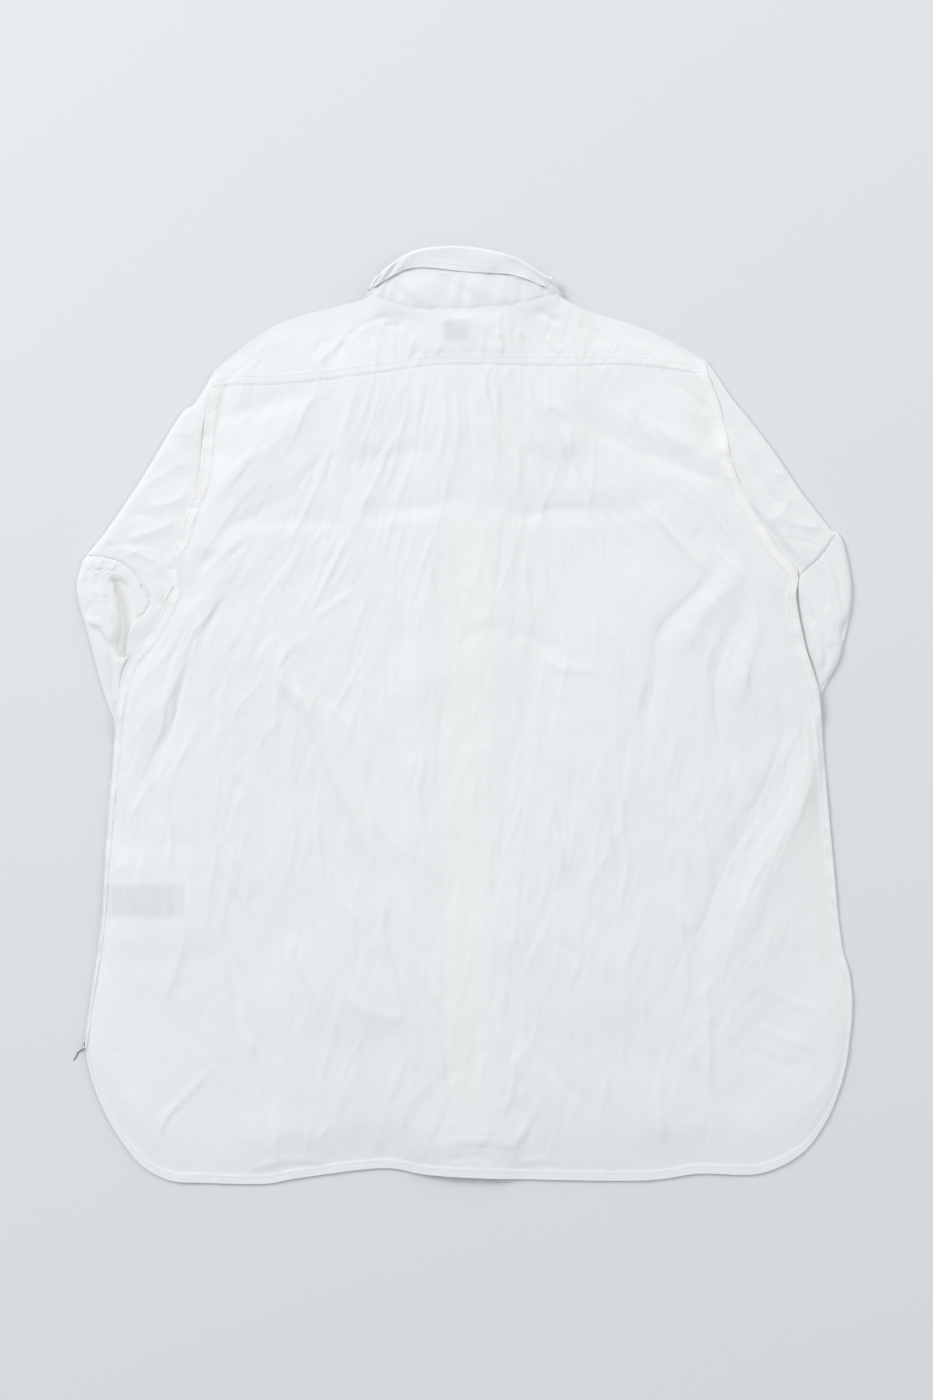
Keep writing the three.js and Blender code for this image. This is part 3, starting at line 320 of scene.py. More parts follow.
creases = [
    ([(-203, 168), (-181, 171), (-140, 174), (-100, 170)], 13, 7, -2.1),
    ([(-100, 170), (-69, 182), (-26, 185), (7, 199)], 12, 7, -2.3),
    ([(7, 199), (26, 188), (50, 177), (74, 181), (145, 182), (181, 195), (201, 203)], 13, 8, -2.0),
    ([(-223, 254), (-199, 268), (-175, 275), (-138, 292)], 12, 9, -2.2),
    ([(-228, 185), (-204, 210), (-175, 238), (-150, 263), (-128, 285)], 16, 12, 3.2),
    ([(-231, 152), (-199, 170), (-171, 185), (-140, 204)], 14, 10, -2.6),
    ([(-222, 152), (-235, 125), (-252, 90)], 11, 13, -2.6),
    ([(-177, 139), (-211, 103), (-247, 47), (-257, -4), (-279, -48), (-303, -90)], 16, 12, -2.4),
    ([(-199, 139), (-231, 94), (-262, 23), (-288, -39)], 12, 12, 1.8),
    ([(-100, 168), (-114, 138), (-128, 109), (-140, 83)], 7, 5, 2.2),
    ([(-95, 114), (-114, 100), (-138, 85)], 5, 4, 1.6),
    ([(-124, 78), (-152, 61), (-164, 45), (-159, 26), (-140, 7), (-128, -19), (-118, -53), (-102, -83),
      (-89, -118), (-77, -139)], 9, 5, 2.9),
    ([(-77, -139), (-74, -162), (-69, -202), (-61, -240), (-59, -266)], 7, 4, 2.3),
    ([(-164, 39), (-166, 11), (-166, -19)], 5, 7, 1.5),
    ([(-128, 17), (-104, -10), (-85, -43)], 5, 6, 1.6),
    ([(-60, 252), (-81, 204), (-97, 175)], 6, 5, 2.0),
    ([(-110, 255), (-117, 232), (-124, 199)], 5, 5, -1.3),
    ([(-33, 306), (-33, 285), (-45, 211)], 5, 5, -1.5),
    ([(-48, 304), (-53, 263), (-64, 219), (-71, 192)], 5, 6, 1.5),
    ([(-21, 304), (-16, 263), (-25, 219)], 5, 5, 1.5),
    ([(3, 306), (3, 281), (7, 228)], 5, 5, -1.7),
    ([(-8, 303), (-5, 255), (-11, 210)], 4, 5, 1.4),
    ([(18, 306), (23, 272), (32, 219)], 5, 5, 1.6),
    ([(33, 306), (33, 286), (45, 245)], 5, 5, -1.5),
    ([(47, 246), (49, 219), (47, 192)], 5, 5, 1.5),
    ([(57, 303), (63, 263), (72, 219)], 6, 5, 1.3),
    ([(-70, 303), (-82, 263), (-100, 219)], 6, 6, 1.3),
    ([(-93, 299), (-106, 259), (-126, 219)], 7, 6, 1.1),
    ([(65, 268), (83, 274), (94, 246), (93, 228)], 6, 5, 1.9),
    ([(83, 272), (91, 237), (99, 197)], 5, 6, -1.4),
    ([(102, 268), (131, 245), (168, 231), (204, 216), (228, 204), (248, 180)], 12, 8, -2.8),
    ([(121, 281), (166, 255), (210, 235), (241, 210)], 10, 12, 2.0),
    ([(182, 299), (206, 280), (221, 263)], 7, 6, -1.8),
    ([(231, 157), (221, 128), (188, 90), (175, 69), (168, 26), (159, -19), (157, -43)], 9, 10, -3.0),
    ([(250, 152), (235, 117), (206, 81), (192, 45)], 9, 10, 2.2),
    ([(254, 124), (245, 93), (225, 43), (225, 3), (239, -45), (255, -90)], 10, 8, -2.4),
    ([(270, 103), (253, 59), (242, 14), (253, -39)], 9, 9, 2.2),
    ([(214, 174), (204, 152)], 5, 5, -1.4),
    ([(53, 145), (60, 85)], 5, 6, 1.3),
    ([(3, 114), (13, 89)], 6, 6, -1.4),
    ([(-11, 54), (14, 75), (59, 68), (99, 57)], 8, 10, -1.6),
    ([(68, 54), (85, 43), (121, 41)], 7, 6, 1.5),
    ([(38, -77), (32, -128), (26, -174)], 5, 5, -1.7),
    ([(47, -146), (46, -177), (44, -213)], 4, 6, 1.7),
    ([(59, 14), (68, -39), (73, -75)], 6, 5, 1.4),
    ([(73, -54), (82, -101), (90, -151)], 4, 6, 1.8),
    ([(99, 14), (112, -39), (117, -66)], 5, 5, -1.3),
    ([(117, -54), (132, -124), (134, -151)], 5, 4, 1.6),
    ([(134, 14), (136, -39), (141, -101)], 5, 5, 1.3),
    ([(180, -77), (196, -121), (206, -151)], 4, 5, 1.7),
    ([(208, -77), (216, -124), (222, -162)], 5, 4, 1.4),
    ([(-17, 23), (-23, -39), (-21, -93)], 7, 6, -1.5),
    ([(5, -12), (9, -75), (4, -128)], 5, 6, 1.2),
    ([(-41, 14), (-36, -30), (-41, -75)], 6, 6, 1.3),
    ([(312, 5), (289, -14), (285, -48), (259, -95), (234, -142), (210, -208), (201, -253)], 13, 15, -3.0),
    ([(317, -17), (304, -66), (281, -119), (256, -168), (241, -217)], 14, 14, 2.4),
    ([(193, -166), (197, -218), (203, -261)], 5, 7, 2.2),
    ([(214, -218), (216, -269), (217, -315), (231, -366)], 7, 5, 2.2),
    ([(175, -307), (173, -345), (182, -386)], 5, 5, 1.7),
    ([(157, -239), (162, -279), (170, -311)], 5, 6, 1.5),
    ([(76, -198), (93, -207), (111, -222)], 5, 8, -1.1),
    ([(62, -290), (82, -317), (108, -350)], 9, 6, -1.5),
    ([(256, -274), (290, -288), (323, -302)], 4, 5, 1.3),
    ([(253, -297), (281, -308), (310, -312)], 5, 5, -1.0),
    ([(265, -239), (292, -255), (322, -262)], 5, 6, 1.2),
    ([(-263, -72), (-259, -106), (-262, -142)], 4, 6, 1.6),
    ([(-248, -149), (-247, -174), (-254, -222), (-273, -266)], 6, 9, 1.8),
    ([(-318, -144), (-308, -135), (-298, -131)], 6, 5, 1.4),
    ([(-317, -213), (-327, -228), (-335, -244)], 6, 6, -1.4),
    ([(-245, -146), (-227, -174), (-209, -218), (-197, -269), (-186, -295), (-176, -345), (-168, -396)],
     16, 5, -3.4),
    ([(-206, -65), (-197, -97), (-189, -124)], 5, 4, 1.3),
    ([(-217, -101), (-222, -133), (-226, -166)], 4, 5, 1.4),
    ([(-194, -93), (-199, -128), (-206, -168)], 4, 5, 1.1),
    ([(-130, -85), (-125, -142), (-117, -182)], 4, 6, 1.6),
    ([(-154, -192), (-145, -222), (-130, -256)], 5, 4, 1.5),
    ([(-112, -162), (-101, -173), (-94, -187)], 4, 4, 1.2),
    ([(-41, -218), (-33, -239), (-25, -259)], 4, 4, 1.5),
    ([(-44, -198), (-25, -231), (-10, -263)], 4, 4, -1.3),
    ([(-23, -277), (-19, -315), (-14, -343)], 5, 4, 1.7),
    ([(-112, -269), (-111, -297), (-109, -328)], 5, 5, -1.4),
    ([(-119, -239), (-82, -262), (-41, -269)], 7, 9, 1.6),
    ([(-219, -307), (-244, -335), (-265, -358), (-274, -384)], 4, 5, 1.5),
    ([(-279, -288), (-262, -308), (-253, -328)], 4, 4, 1.0),
    ([(-168, -366), (-167, -384), (-166, -401)], 4, 5, 1.6),
    ([(-122, -363), (-125, -370), (-130, -378)], 4, 4, 1.3),
    ([(-61, -306), (-57, -342), (-50, -368)], 4, 4, 1.2),
    ([(14, -271), (16, -306), (12, -342)], 5, 5, 1.2),
    ([(45, -297), (43, -328), (32, -360)], 5, 5, 1.2),
    ([(121, -279), (126, -324), (119, -364)], 5, 5, 1.2),
    ([(-36, -389), (0, -377), (55, -384)], 7, 4, 2.0),
    ([(-21, -395), (5, -392), (29, -392)], 4, 3, -1.5),
    ([(43, -399), (68, -395), (88, -398)], 4, 3, 1.5),
    ([(-199, -406), (-155, -395), (-110, -400)], 6, 5, 1.6),
]
yokeCreases = [
    ([(-60, 360), (-101, 339), (-117, 310)], 7, 5, -1.9),
    ([(-54, 346), (-72, 346)], 4, 4, -1.2),
    ([(-70, 354), (-106, 335), (-137, 306)], 7, 7, 1.8),
    ([(59, 366), (72, 356), (88, 347)], 6, 6, -1.7),
    ([(100, 351), (117, 339), (133, 327)], 6, 6, -1.7),
    ([(108, 360), (139, 351), (170, 339)], 6, 4, 2.2),
    ([(121, 344), (157, 326), (188, 306)], 8, 7, 1.5),
    ([(-206, 299), (-180, 324), (-146, 338)], 8, 8, 1.4),
    ([(-213, 295), (-190, 315), (-168, 330)], 5, 5, -1.2),
    ([(-10, 352), (2, 353), (14, 358)], 3, 3, 1.0),
    ([(-21, 330), (-25, 319)], 4, 4, 0.9),
    ([(30, 344), (35, 320)], 4, 4, 0.9),
    ([(10, 339), (11, 317)], 4, 4, -0.8),
    ([(-44, 339), (-49, 315)], 4, 4, 0.9),
    ([(50, 339), (59, 317)], 4, 4, -0.9),
    ([(72, 339), (85, 319)], 4, 4, 1.0),
]

crinkle = {
    "cell": 1.2, "halfWidth": 370, "halfLength": 440,
    "count": 1500, "length": (26, 130), "width": (1.5, 2.5), "wide": (2.4, 8), "rise": (0.2, 0.88),
    "onYoke": 150, "yokeLength": (20, 60), "yokeRise": (0.15, 0.6),
    "beneath": 420, "beneathLength": (24, 95), "beneathRise": (0.4, 1.6),
}
creaseLook = {"narrow": 7, "thinner": 0.72, "height": 0.8, "companions": 38}     # a finer crease every so far
grain = [  # which way the fine creases run, in degrees from +x, at places on the back
    (0, 250, 90), (-110, 240, 64), (120, 240, 112), (-220, 200, 52), (220, 200, 132), (0, 160, 88),
    (-200, 120, 48), (200, 120, 118), (-130, 40, 72), (0, 30, 90), (150, 60, 98), (-280, 0, 66),
    (280, 0, 105), (-90, -100, 104), (60, -90, 88), (180, -110, 80), (-230, -150, 98), (290, -150, 68),
    (-150, -280, 84), (0, -280, 96), (120, -300, 92), (270, -290, 48), (-280, -320, 118), (0, -370, 40),
]


def reliefField():
    across = np.arange(-crinkle["halfWidth"], crinkle["halfWidth"], crinkle["cell"])
    up = np.arange(-crinkle["halfLength"], crinkle["halfLength"], crinkle["cell"])
    return across, up, np.zeros((len(up), len(across)))


def addCrease(field, points, left, right, rise, sharp=0.8, fade=0.16):
    # a ridge or trough along a curve, fading out at both ends
    across, up, height = field
    line = curve(points, 14) if len(points) > 2 else np.array(points, float)
    reach = 3.2 * max(left, right)
    lowX, lowY = line.min(0) - reach
    highX, highY = line.max(0) + reach
    columns = slice(*np.searchsorted(across, [lowX, highX]))
    rows = slice(*np.searchsorted(up, [lowY, highY]))
    x, y = np.meshgrid(across[columns], up[rows])
    share = shares(line)
    nearest = np.full(x.shape, 1e9)
    side = np.zeros(x.shape)
    place = np.zeros(x.shape)
    for k in range(len(line) - 1):
        a, b = line[k], line[k + 1]
        length = np.linalg.norm(b - a)
        d = (b - a) / length
        far = (x - a[0]) * d[0] + (y - a[1]) * d[1]
        t = np.clip(far / length, 0, 1)
        off = (y - a[1]) * d[0] - (x - a[0]) * d[1]
        distance = np.hypot(off, far - t * length)
        closer = distance < nearest
        nearest = np.where(closer, distance, nearest)
        side = np.where(closer, off, side)
        place = np.where(closer, mixed(share[k], share[k + 1], t), place)
    width = np.where(side > 0, left, right)
    scaled = nearest / width
    soft = np.exp(-scaled ** 2)
    crisp = np.exp(1.9 * (0.16 - np.sqrt(scaled ** 2 + 0.0256)))
    ends = smooth(place / fade) * smooth((1 - place) / fade)
    height[rows, columns] += rise * mixed(soft, crisp * np.exp(-(scaled / 2.4) ** 2), sharp) * ends


def straightCrease(field, x, y, turn, long, left, right, rise, sharp):
    dx, dy = math.cos(turn) * long / 2, math.sin(turn) * long / 2
    addCrease(field, [(x - dx, y - dy), (x + dx, y + dy)], left, right, rise, sharp, 0.4)


def grainAt(x, y):
    # fine creases follow the nearest of the listed directions, blended
    weights = [1 / ((x - gx) ** 2 + (y - gy) ** 2 + 900) ** 1.5 for gx, gy, _ in grain]
    turn = sum(w * np.exp(2j * math.radians(a)) for w, (_, _, a) in zip(weights, grain))
    return np.angle(turn) / 2


def blurred(values, radius):
    # a soft average over a square window, three times over
    for _ in range(3):
        for axis in (0, 1):
            pad = [(radius + 1, radius) if k == axis else (0, 0) for k in (0, 1)]
            total = np.cumsum(np.pad(values, pad, mode="edge"), axis=axis)
            size = 2 * radius + 1
            if axis == 0:
                values = (total[size:] - total[:-size]) / size
            else:
                values = (total[:, size:] - total[:, :-size]) / size
    return values


def cloudField(across, up, cell, seed):
    # smooth random hills about one high, as wide as cell
    random = np.random.default_rng(seed)
    radius = max(1, round(cell / crinkle["cell"] / 2.6))
    values = blurred(random.standard_normal((len(up), len(across))), radius)
    return values / values.std()


def backRelief():
    field = reliefField()
    across, up, height = field
    for points, left, right, rise in creases + yokeCreases:
        narrow = max(left, right) <= creaseLook["narrow"]
        size = creaseLook["thinner"] if narrow else 1
        addCrease(field, points, left * size, right * size, rise * creaseLook["height"],
                  sharp=0.85 if narrow else 0.4, fade=0.26)
        line = curve(points, 30)
        long = np.linalg.norm(np.diff(line, axis=0), axis=1).sum()
        for _ in range(int(long / creaseLook["companions"])):
            start = rng.uniform(0, 0.6)
            part = along(line, np.linspace(start, start + rng.uniform(0.25, 0.4), 4))
            part += rng.normal(0, 5.5, 2) + rng.normal(0, 1.2, part.shape)
            addCrease(field, [tuple(p) for p in part], 1.8, rng.uniform(2.5, 6),
                      rise * rng.uniform(0.2, 0.5) * rng.choice([-1, 1]), sharp=0.9, fade=0.4)
    for _ in range(crinkle["count"]):
        x = rng.uniform(-330, 335)
        y = rng.uniform(-405, 300)
        turn = grainAt(x, y) + rng.normal(0, 0.2)
        long = rng.uniform(*crinkle["length"])
        bow = rng.normal(0, 0.14) * long
        dx, dy = math.cos(turn) * long / 2, math.sin(turn) * long / 2
        points = [(x - dx, y - dy), (x - dy * bow / long, y + dx * bow / long), (x + dx, y + dy)]
        sides = [rng.uniform(*crinkle["width"]), rng.uniform(*crinkle["wide"])]
        if rng.random() < 0.5:
            sides.reverse()
        corner = smooth((math.hypot(x / 330, y / 400) - 0.86) / 0.2)
        rise = rng.uniform(*crinkle["rise"]) * rng.choice([-0.7, 1]) * (1 - 0.55 * corner)
        rise *= 1 - 0.4 * smooth((-x - 90) / 90) * smooth((y + 40) / 80)
        addCrease(field, points, *sides, rise, sharp=0.85, fade=0.4)
    for _ in range(crinkle["onYoke"]):
        x, y = rng.uniform(-215, 210), rng.uniform(298, 366)
        turn = math.radians(90 - x * 0.12 + rng.normal(0, 14))
        long = rng.uniform(*crinkle["yokeLength"])
        rise = rng.uniform(*crinkle["yokeRise"]) * rng.choice([-0.7, 1])
        straightCrease(field, x, y, turn, long, 1.8, rng.uniform(2.4, 6), rise, 0.85)
    hills = 0.5 * cloudField(across, up, 46, 3) + 0.13 * cloudField(across, up, 20, 4)
    fold = cloudField(across, up, 11, 5)
    return across, up, height + hills + 0.08 * (1 - np.abs(fold)) + 0.05 * cloudField(across, up, 5, 6)


def sampled(field, x, y):
    across, up, height = field
    u = np.clip((x - across[0]) / crinkle["cell"], 0, len(across) - 1.001)
    v = np.clip((y - up[0]) / crinkle["cell"], 0, len(up) - 1.001)
    i, j = u.astype(int), v.astype(int)
    fu, fv = u - i, v - j
    low = mixed(height[j, i], height[j, i + 1], fu)
    high = mixed(height[j + 1, i], height[j + 1, i + 1], fu)
    return mixed(low, high, fv)


relief = backRelief()
print("creases laid")

# meshes

def newObject(name, points, faces, material, values=None):
    mesh = bpy.data.meshes.new(name)
    place = (np.asarray(points, float) + [originX, originY, 0]) * mm
    mesh.from_pydata(place.tolist(), [], faces)
    mesh.update()
    corners = np.zeros(len(mesh.loops), int)
    mesh.loops.foreach_get("vertex_index", corners)
    layer = mesh.uv_layers.new(name="weave")
    flat = np.asarray(points, float)[:, :2] * mm
    layer.data.foreach_set("uv", flat[corners].ravel())
    for key, value in (values or {}).items():
        attribute = mesh.attributes.new(key, "FLOAT", "POINT")
        attribute.data.foreach_set("value", np.asarray(value, np.float32))
    mesh.polygons.foreach_set("use_smooth", np.ones(len(mesh.polygons), bool))
    mesh.set_sharp_from_angle(angle=math.radians(48))
    mesh.materials.append(material)
    piece = bpy.data.objects.new(name, mesh)
    bpy.context.scene.collection.objects.link(piece)
    return piece


def spreadLowest(height, reach):
    # the lowest height nearby, so that a coarse layer stays under a fine one
    out = height.copy()
    for _ in range(reach):
        grown = np.pad(out, 1, mode="edge")
        beside = [grown[:-2, 1:-1], grown[2:, 1:-1], grown[1:-1, :-2], grown[1:-1, 2:]]
        out = np.min([out, *beside], 0)
    return out


def shell(fine, ply, faceUp=True, coarse=3):
    # a closed thin layer: the side that shows keeps every point, the hidden side every few;
    # with its points and faces come the fine grid's index of each point
    rows, columns = fine.shape[:2]
    sign = 1 if faceUp else -1
    hidden = fine.copy()
    hidden[..., 2] = sign * (spreadLowest(sign * fine[..., 2], coarse) - ply)
    edge = fine.copy()
    edge[..., 2] -= sign * ply
    grid = np.arange(rows * columns).reshape(rows, columns)
    quads = np.stack([grid[:-1, :-1], grid[:-1, 1:], grid[1:, 1:], grid[1:, :-1]], -1).reshape(-1, 4)
    if not faceUp:
        quads = quads[:, ::-1]
    points = [fine.reshape(-1, 3)]
    origin = [grid.ravel()]
    loop = np.concatenate([grid[0, :-1], grid[:-1, -1], grid[-1, :0:-1], grid[:0:-1, 0]])
    rim = {g: rows * columns + k for k, g in enumerate(loop)}
    points.append(edge.reshape(-1, 3)[loop])
    origin.append(loop)
    faces = quads.tolist()
    ring = len(loop)
    for k in range(ring):
        a, b = loop[k], loop[(k + 1) % ring]
        wall = [int(a), rim[a], rim[b], int(b)]
        faces.append(wall if faceUp else wall[::-1])
    inner = {}
    extra, extraOrigin = [], []
    rowMarks = sorted(set(range(0, rows, coarse)) | {rows - 1})
    columnMarks = sorted(set(range(0, columns, coarse)) | {columns - 1})
    for r in rowMarks[1:-1]:
        for c in columnMarks[1:-1]:
            inner[(r, c)] = rows * columns + ring + len(extra)
            extra.append(hidden[r, c])
            extraOrigin.append(grid[r, c])
    if extra:
        points.append(np.array(extra))
        origin.append(np.array(extraOrigin))

    def at(r, c):
        return inner[(r, c)] if (r, c) in inner else rim[grid[r, c]]

    for r0, r1 in zip(rowMarks[:-1], rowMarks[1:]):
        for c0, c1 in zip(columnMarks[:-1], columnMarks[1:]):
            face = [at(r0, c) for c in (range(c0, c1 + 1) if r0 == 0 else (c0, c1))]
            face += [at(r, c1) for r in (range(r0 + 1, r1 + 1) if c1 == columns - 1 else (r1,))]
            face += [at(r1, c) for c in (range(c1 - 1, c0 - 1, -1) if r1 == rows - 1 else (c0,))]
            if c0 == 0:
                face += [at(r, c0) for r in range(r1 - 1, r0, -1)]
            faces.append(face[::-1] if faceUp else face)
    return np.concatenate(points), faces, np.concatenate(origin)


def wall(middle, ply, flip=False, ringed=False):
    # a closed wall of even thickness about a grid; ringed joins its last column to its first
    rows, columns = middle.shape[:2]
    if ringed:
        around = np.concatenate([middle[:, -1:], middle, middle[:, :1]], 1)
        across = around[:, 2:] - around[:, :-2]
    else:
        across = np.gradient(middle, axis=1)
    normal = np.cross(across, np.gradient(middle, axis=0))
    normal /= np.maximum(1e-9, np.linalg.norm(normal, axis=-1, keepdims=True))
    if flip:
        normal = -normal
    points = np.concatenate([(middle + normal * ply / 2).reshape(-1, 3),
                             (middle - normal * ply / 2).reshape(-1, 3)])
    grid = np.arange(rows * columns).reshape(rows, columns)
    if ringed:
        grid = np.concatenate([grid, grid[:, :1]], 1)
    quads = np.stack([grid[:-1, :-1], grid[:-1, 1:], grid[1:, 1:], grid[1:, :-1]], -1).reshape(-1, 4)
    back = quads[:, ::-1] + rows * columns
    if flip:
        quads, back = quads[:, ::-1], back[:, ::-1]
    faces = quads.tolist() + back.tolist()
    low, high = grid[0], grid[-1]
    rims = [(low, 1), (high, -1)]
    if not ringed:
        rims += [(grid[:, 0], -1), (grid[:, -1], 1)]
    for line, turn in rims:
        for a, b in zip(line[:-1], line[1:]):
            face = [a, a + rows * columns, b + rows * columns, b]
            if (turn < 0) != flip:
                face.reverse()
            faces.append([int(k) for k in face])
    return points, faces


def joined(*parts):
    points, faces, start = [], [], 0
    for partPoints, partFaces in parts:
        points.append(partPoints)
        faces += [[k + start for k in face] for face in partFaces]
        start += len(partPoints)
    return np.concatenate(points), faces


def clothPiece(name, mesh, nodes, material=None, values=None):
    piece = newObject(name, mesh[0], mesh[1], material or cotton, values=values)
    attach(piece, "root")
    if nodes:
        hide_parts(*nodes)
    return piece


# materials

def socketed(name, inputs, outputs):
    group = bpy.data.node_groups.new(name, "ShaderNodeTree")
    for label, kind, value in inputs:
        socket = group.interface.new_socket(name=label, in_out="INPUT", socket_type=kind)
        if value is not None:
            socket.default_value = value
    for label, kind in outputs:
        group.interface.new_socket(name=label, in_out="OUTPUT", socket_type=kind)
    return group, group.nodes.new("NodeGroupInput"), group.nodes.new("NodeGroupOutput")


def put(tree, kind, inputs=None, **settings):
    # a node with its settings; each input is a constant or the socket that feeds it
    node = tree.nodes.new(kind)
    for key, value in settings.items():
        setattr(node, key, value)
    for key, value in (inputs or {}).items():
        if isinstance(value, bpy.types.NodeSocket):
            tree.links.new(value, node.inputs[key])
        else:
            node.inputs[key].default_value = value
    return node


def mathNode(tree, operation, a, b):
    return put(tree, "ShaderNodeMath", {0: a, 1: b}, operation=operation).outputs[0]


def clothGrainGroup():
    # slubs along both threads, a fine nap and small crinkles, as a height and a mask
    group, source, out = socketed("clothGrain", [
        ("Weave", "NodeSocketVector", None), ("Place", "NodeSocketVector", None),
        ("Slub", "NodeSocketFloat", 0.5), ("Crinkle", "NodeSocketFloat", 0.5), ("Pleat", "NodeSocketFloat", 0.5)],
        [("Height", "NodeSocketFloat"), ("Mask", "NodeSocketFloat")])
    weave, place = source.outputs["Weave"], source.outputs["Place"]
    heights = []
    for scale in ((900, 46, 1), (52, 1100, 1)):
        stretch = put(group, "ShaderNodeMapping", {"Vector": weave, "Scale": scale})
        noise = put(group, "ShaderNodeTexNoise", {"Vector": stretch.outputs[0], "Scale": 1, "Detail": 3})
        heights.append(mathNode(group, "MULTIPLY", noise.outputs["Fac"], source.outputs["Slub"]))
    for scale, detail, factor in ((95, 5, 1.0), (2400, 2, 0.35)):
        noise = put(group, "ShaderNodeTexNoise",
                    {"Vector": place, "Scale": scale, "Detail": detail, "Roughness": 0.62})
        scaled = mathNode(group, "MULTIPLY", noise.outputs["Fac"], factor)
        heights.append(mathNode(group, "MULTIPLY", scaled, source.outputs["Crinkle"]))
    # long fine pleats, wandering a little to either side
    wander = put(group, "ShaderNodeTexNoise", {"Vector": weave, "Scale": 5})
    shift = put(group, "ShaderNodeVectorMath",
                {0: wander.outputs["Color"], 1: (0.16, 0.05, 0), 2: weave}, operation="MULTIPLY_ADD")
    stretch = put(group, "ShaderNodeMapping", {"Vector": shift.outputs[0], "Scale": (62, 7.5, 1)})
    pleats = put(group, "ShaderNodeTexNoise", noise_type="RIDGED_MULTIFRACTAL",
                 inputs={"Vector": stretch.outputs[0], "Scale": 1, "Detail": 2.5, "Roughness": 0.4})
    ridges = mathNode(group, "MULTIPLY", pleats.outputs["Fac"], source.outputs["Pleat"])
    slubs = mathNode(group, "ADD", heights[0], heights[1])
    rest = mathNode(group, "ADD", mathNode(group, "ADD", heights[2], heights[3]), ridges)
    group.links.new(mathNode(group, "ADD", slubs, rest), out.inputs["Height"])
    group.links.new(slubs, out.inputs["Mask"])
    return group


clothGrain = clothGrainGroup()


def newMaterial(name, constants):
    material = bpy.data.materials.new(name)
    material.use_nodes = True
    shader = material.node_tree.nodes["Principled BSDF"]
    for key, value in constants.items():
        shader.inputs[key].default_value = value
    return material, material.node_tree, shader


def twoTones(tree, colour, darker, mask):
    # a colour that varies to a slightly darker one
    return put(tree, "ShaderNodeMix", data_type="RGBA",
               inputs={0: mask, 6: (*[c * darker for c in colour], 1), 7: (*colour, 1)}).outputs[2]


def clothMaterial(name, colour, deep, warm, rough, bump, slub=0.5, crinkle=0.6, pleat=0.8):
    # deep tints what shows through darkly and, on the sleeves, is the painted shade in the elbow hollows; warm
    # tints what shows through as a brighter layer
    material, tree, shader = newMaterial(name, {
        "Roughness": rough, "Sheen Weight": 0.12, "Sheen Roughness": 0.6, "Specular IOR Level": 0.25})
    weave = put(tree, "ShaderNodeUVMap", uv_map="weave").outputs[0]
    place = put(tree, "ShaderNodeTexCoord").outputs["Object"]
    shade, glow, sewn = (put(tree, "ShaderNodeAttribute", attribute_name=key).outputs["Fac"]
                         for key in ("shade", "glow", "sewn"))
    threads = put(tree, "ShaderNodeGroup", node_tree=clothGrain)
    for key, value in (("Slub", slub), ("Crinkle", crinkle), ("Pleat", pleat)):
        threads.inputs[key].default_value = value
    tree.links.new(weave, threads.inputs["Weave"])
    tree.links.new(place, threads.inputs["Place"])
    mottle = put(tree, "ShaderNodeTexNoise", {"Vector": place, "Scale": 9, "Detail": 4})
    uneven = mathNode(tree, "ADD", mottle.outputs["Fac"], threads.outputs["Mask"])
    tone = twoTones(tree, colour, 0.975, mathNode(tree, "MULTIPLY", uneven, 0.7))
    # the shade mask holds what shows through and, on the sleeves, the painted shade of the elbow hollows
    for mask, tint in ((shade, deep), (glow, warm)):
        tone = put(tree, "ShaderNodeMix", {0: mask, 6: tone, 7: (*tint, 1)}, data_type="RGBA").outputs[2]
    tree.links.new(tone, shader.inputs["Base Color"])
    # puckers pulled in by the stitches of seams and hems
    pull = put(tree, "ShaderNodeTexNoise", {"Vector": place, "Scale": 230, "Detail": 1.5})
    pulled = mathNode(tree, "MULTIPLY", mathNode(tree, "MULTIPLY", pull.outputs["Fac"], 2.6), sewn)
    raised = put(tree, "ShaderNodeBump", {
        "Strength": bump, "Distance": 0.0012, "Height": mathNode(tree, "ADD", threads.outputs["Height"], pulled)})
    tree.links.new(raised.outputs[0], shader.inputs["Normal"])
    return material


cotton = clothMaterial("cotton", colour=(0.90, 0.905, 0.90), deep=(0.60, 0.66, 0.70),
                       warm=(0.945, 0.935, 0.925), rough=0.88, bump=0.22)
tape = clothMaterial("labelTape", colour=(0.66, 0.71, 0.76), deep=(0.5, 0.5, 0.5), warm=(0.9, 0.9, 0.9),
                     rough=0.7, bump=0.2, slub=0.3, crinkle=0.2, pleat=0)

# floor, camera and light

stageLook = {
    "floor": (0.79, 0.810, 0.828), "floorSize": 7.0,
    "eyeHeight": 2.6, "viewHeight": 1246, "centre": (2.2, 14.2),     # viewHeight and centre in millimetres
}


def makeFloor():
    bpy.ops.object.select_all(action="DESELECT")
    bpy.ops.mesh.primitive_plane_add(size=stageLook["floorSize"], location=(0, 0, 0))
    floor = bpy.context.object
    floor.name = "floor"
    material, tree, shader = newMaterial("paleBoard", {"Roughness": 0.75, "Specular IOR Level": 0.2})
    place = put(tree, "ShaderNodeTexCoord").outputs["Object"]
    cloud = put(tree, "ShaderNodeTexNoise", {"Vector": place, "Scale": 1.6})
    tree.links.new(twoTones(tree, stageLook["floor"], 0.985, cloud.outputs["Fac"]), shader.inputs["Base Color"])
    floor.data.materials.append(material)


def makeCamera():
    data = bpy.data.cameras.new("camera")
    camera = bpy.data.objects.new("camera", data)
    bpy.context.scene.collection.objects.link(camera)
    x, y = stageLook["centre"]
    camera.location = ((x + originX) * mm, (y + originY) * mm, stageLook["eyeHeight"])
    data.sensor_fit = "VERTICAL"
    data.sensor_height = 36
    data.lens = 36 * stageLook["eyeHeight"] / (stageLook["viewHeight"] * mm)
    bpy.context.scene.camera = camera


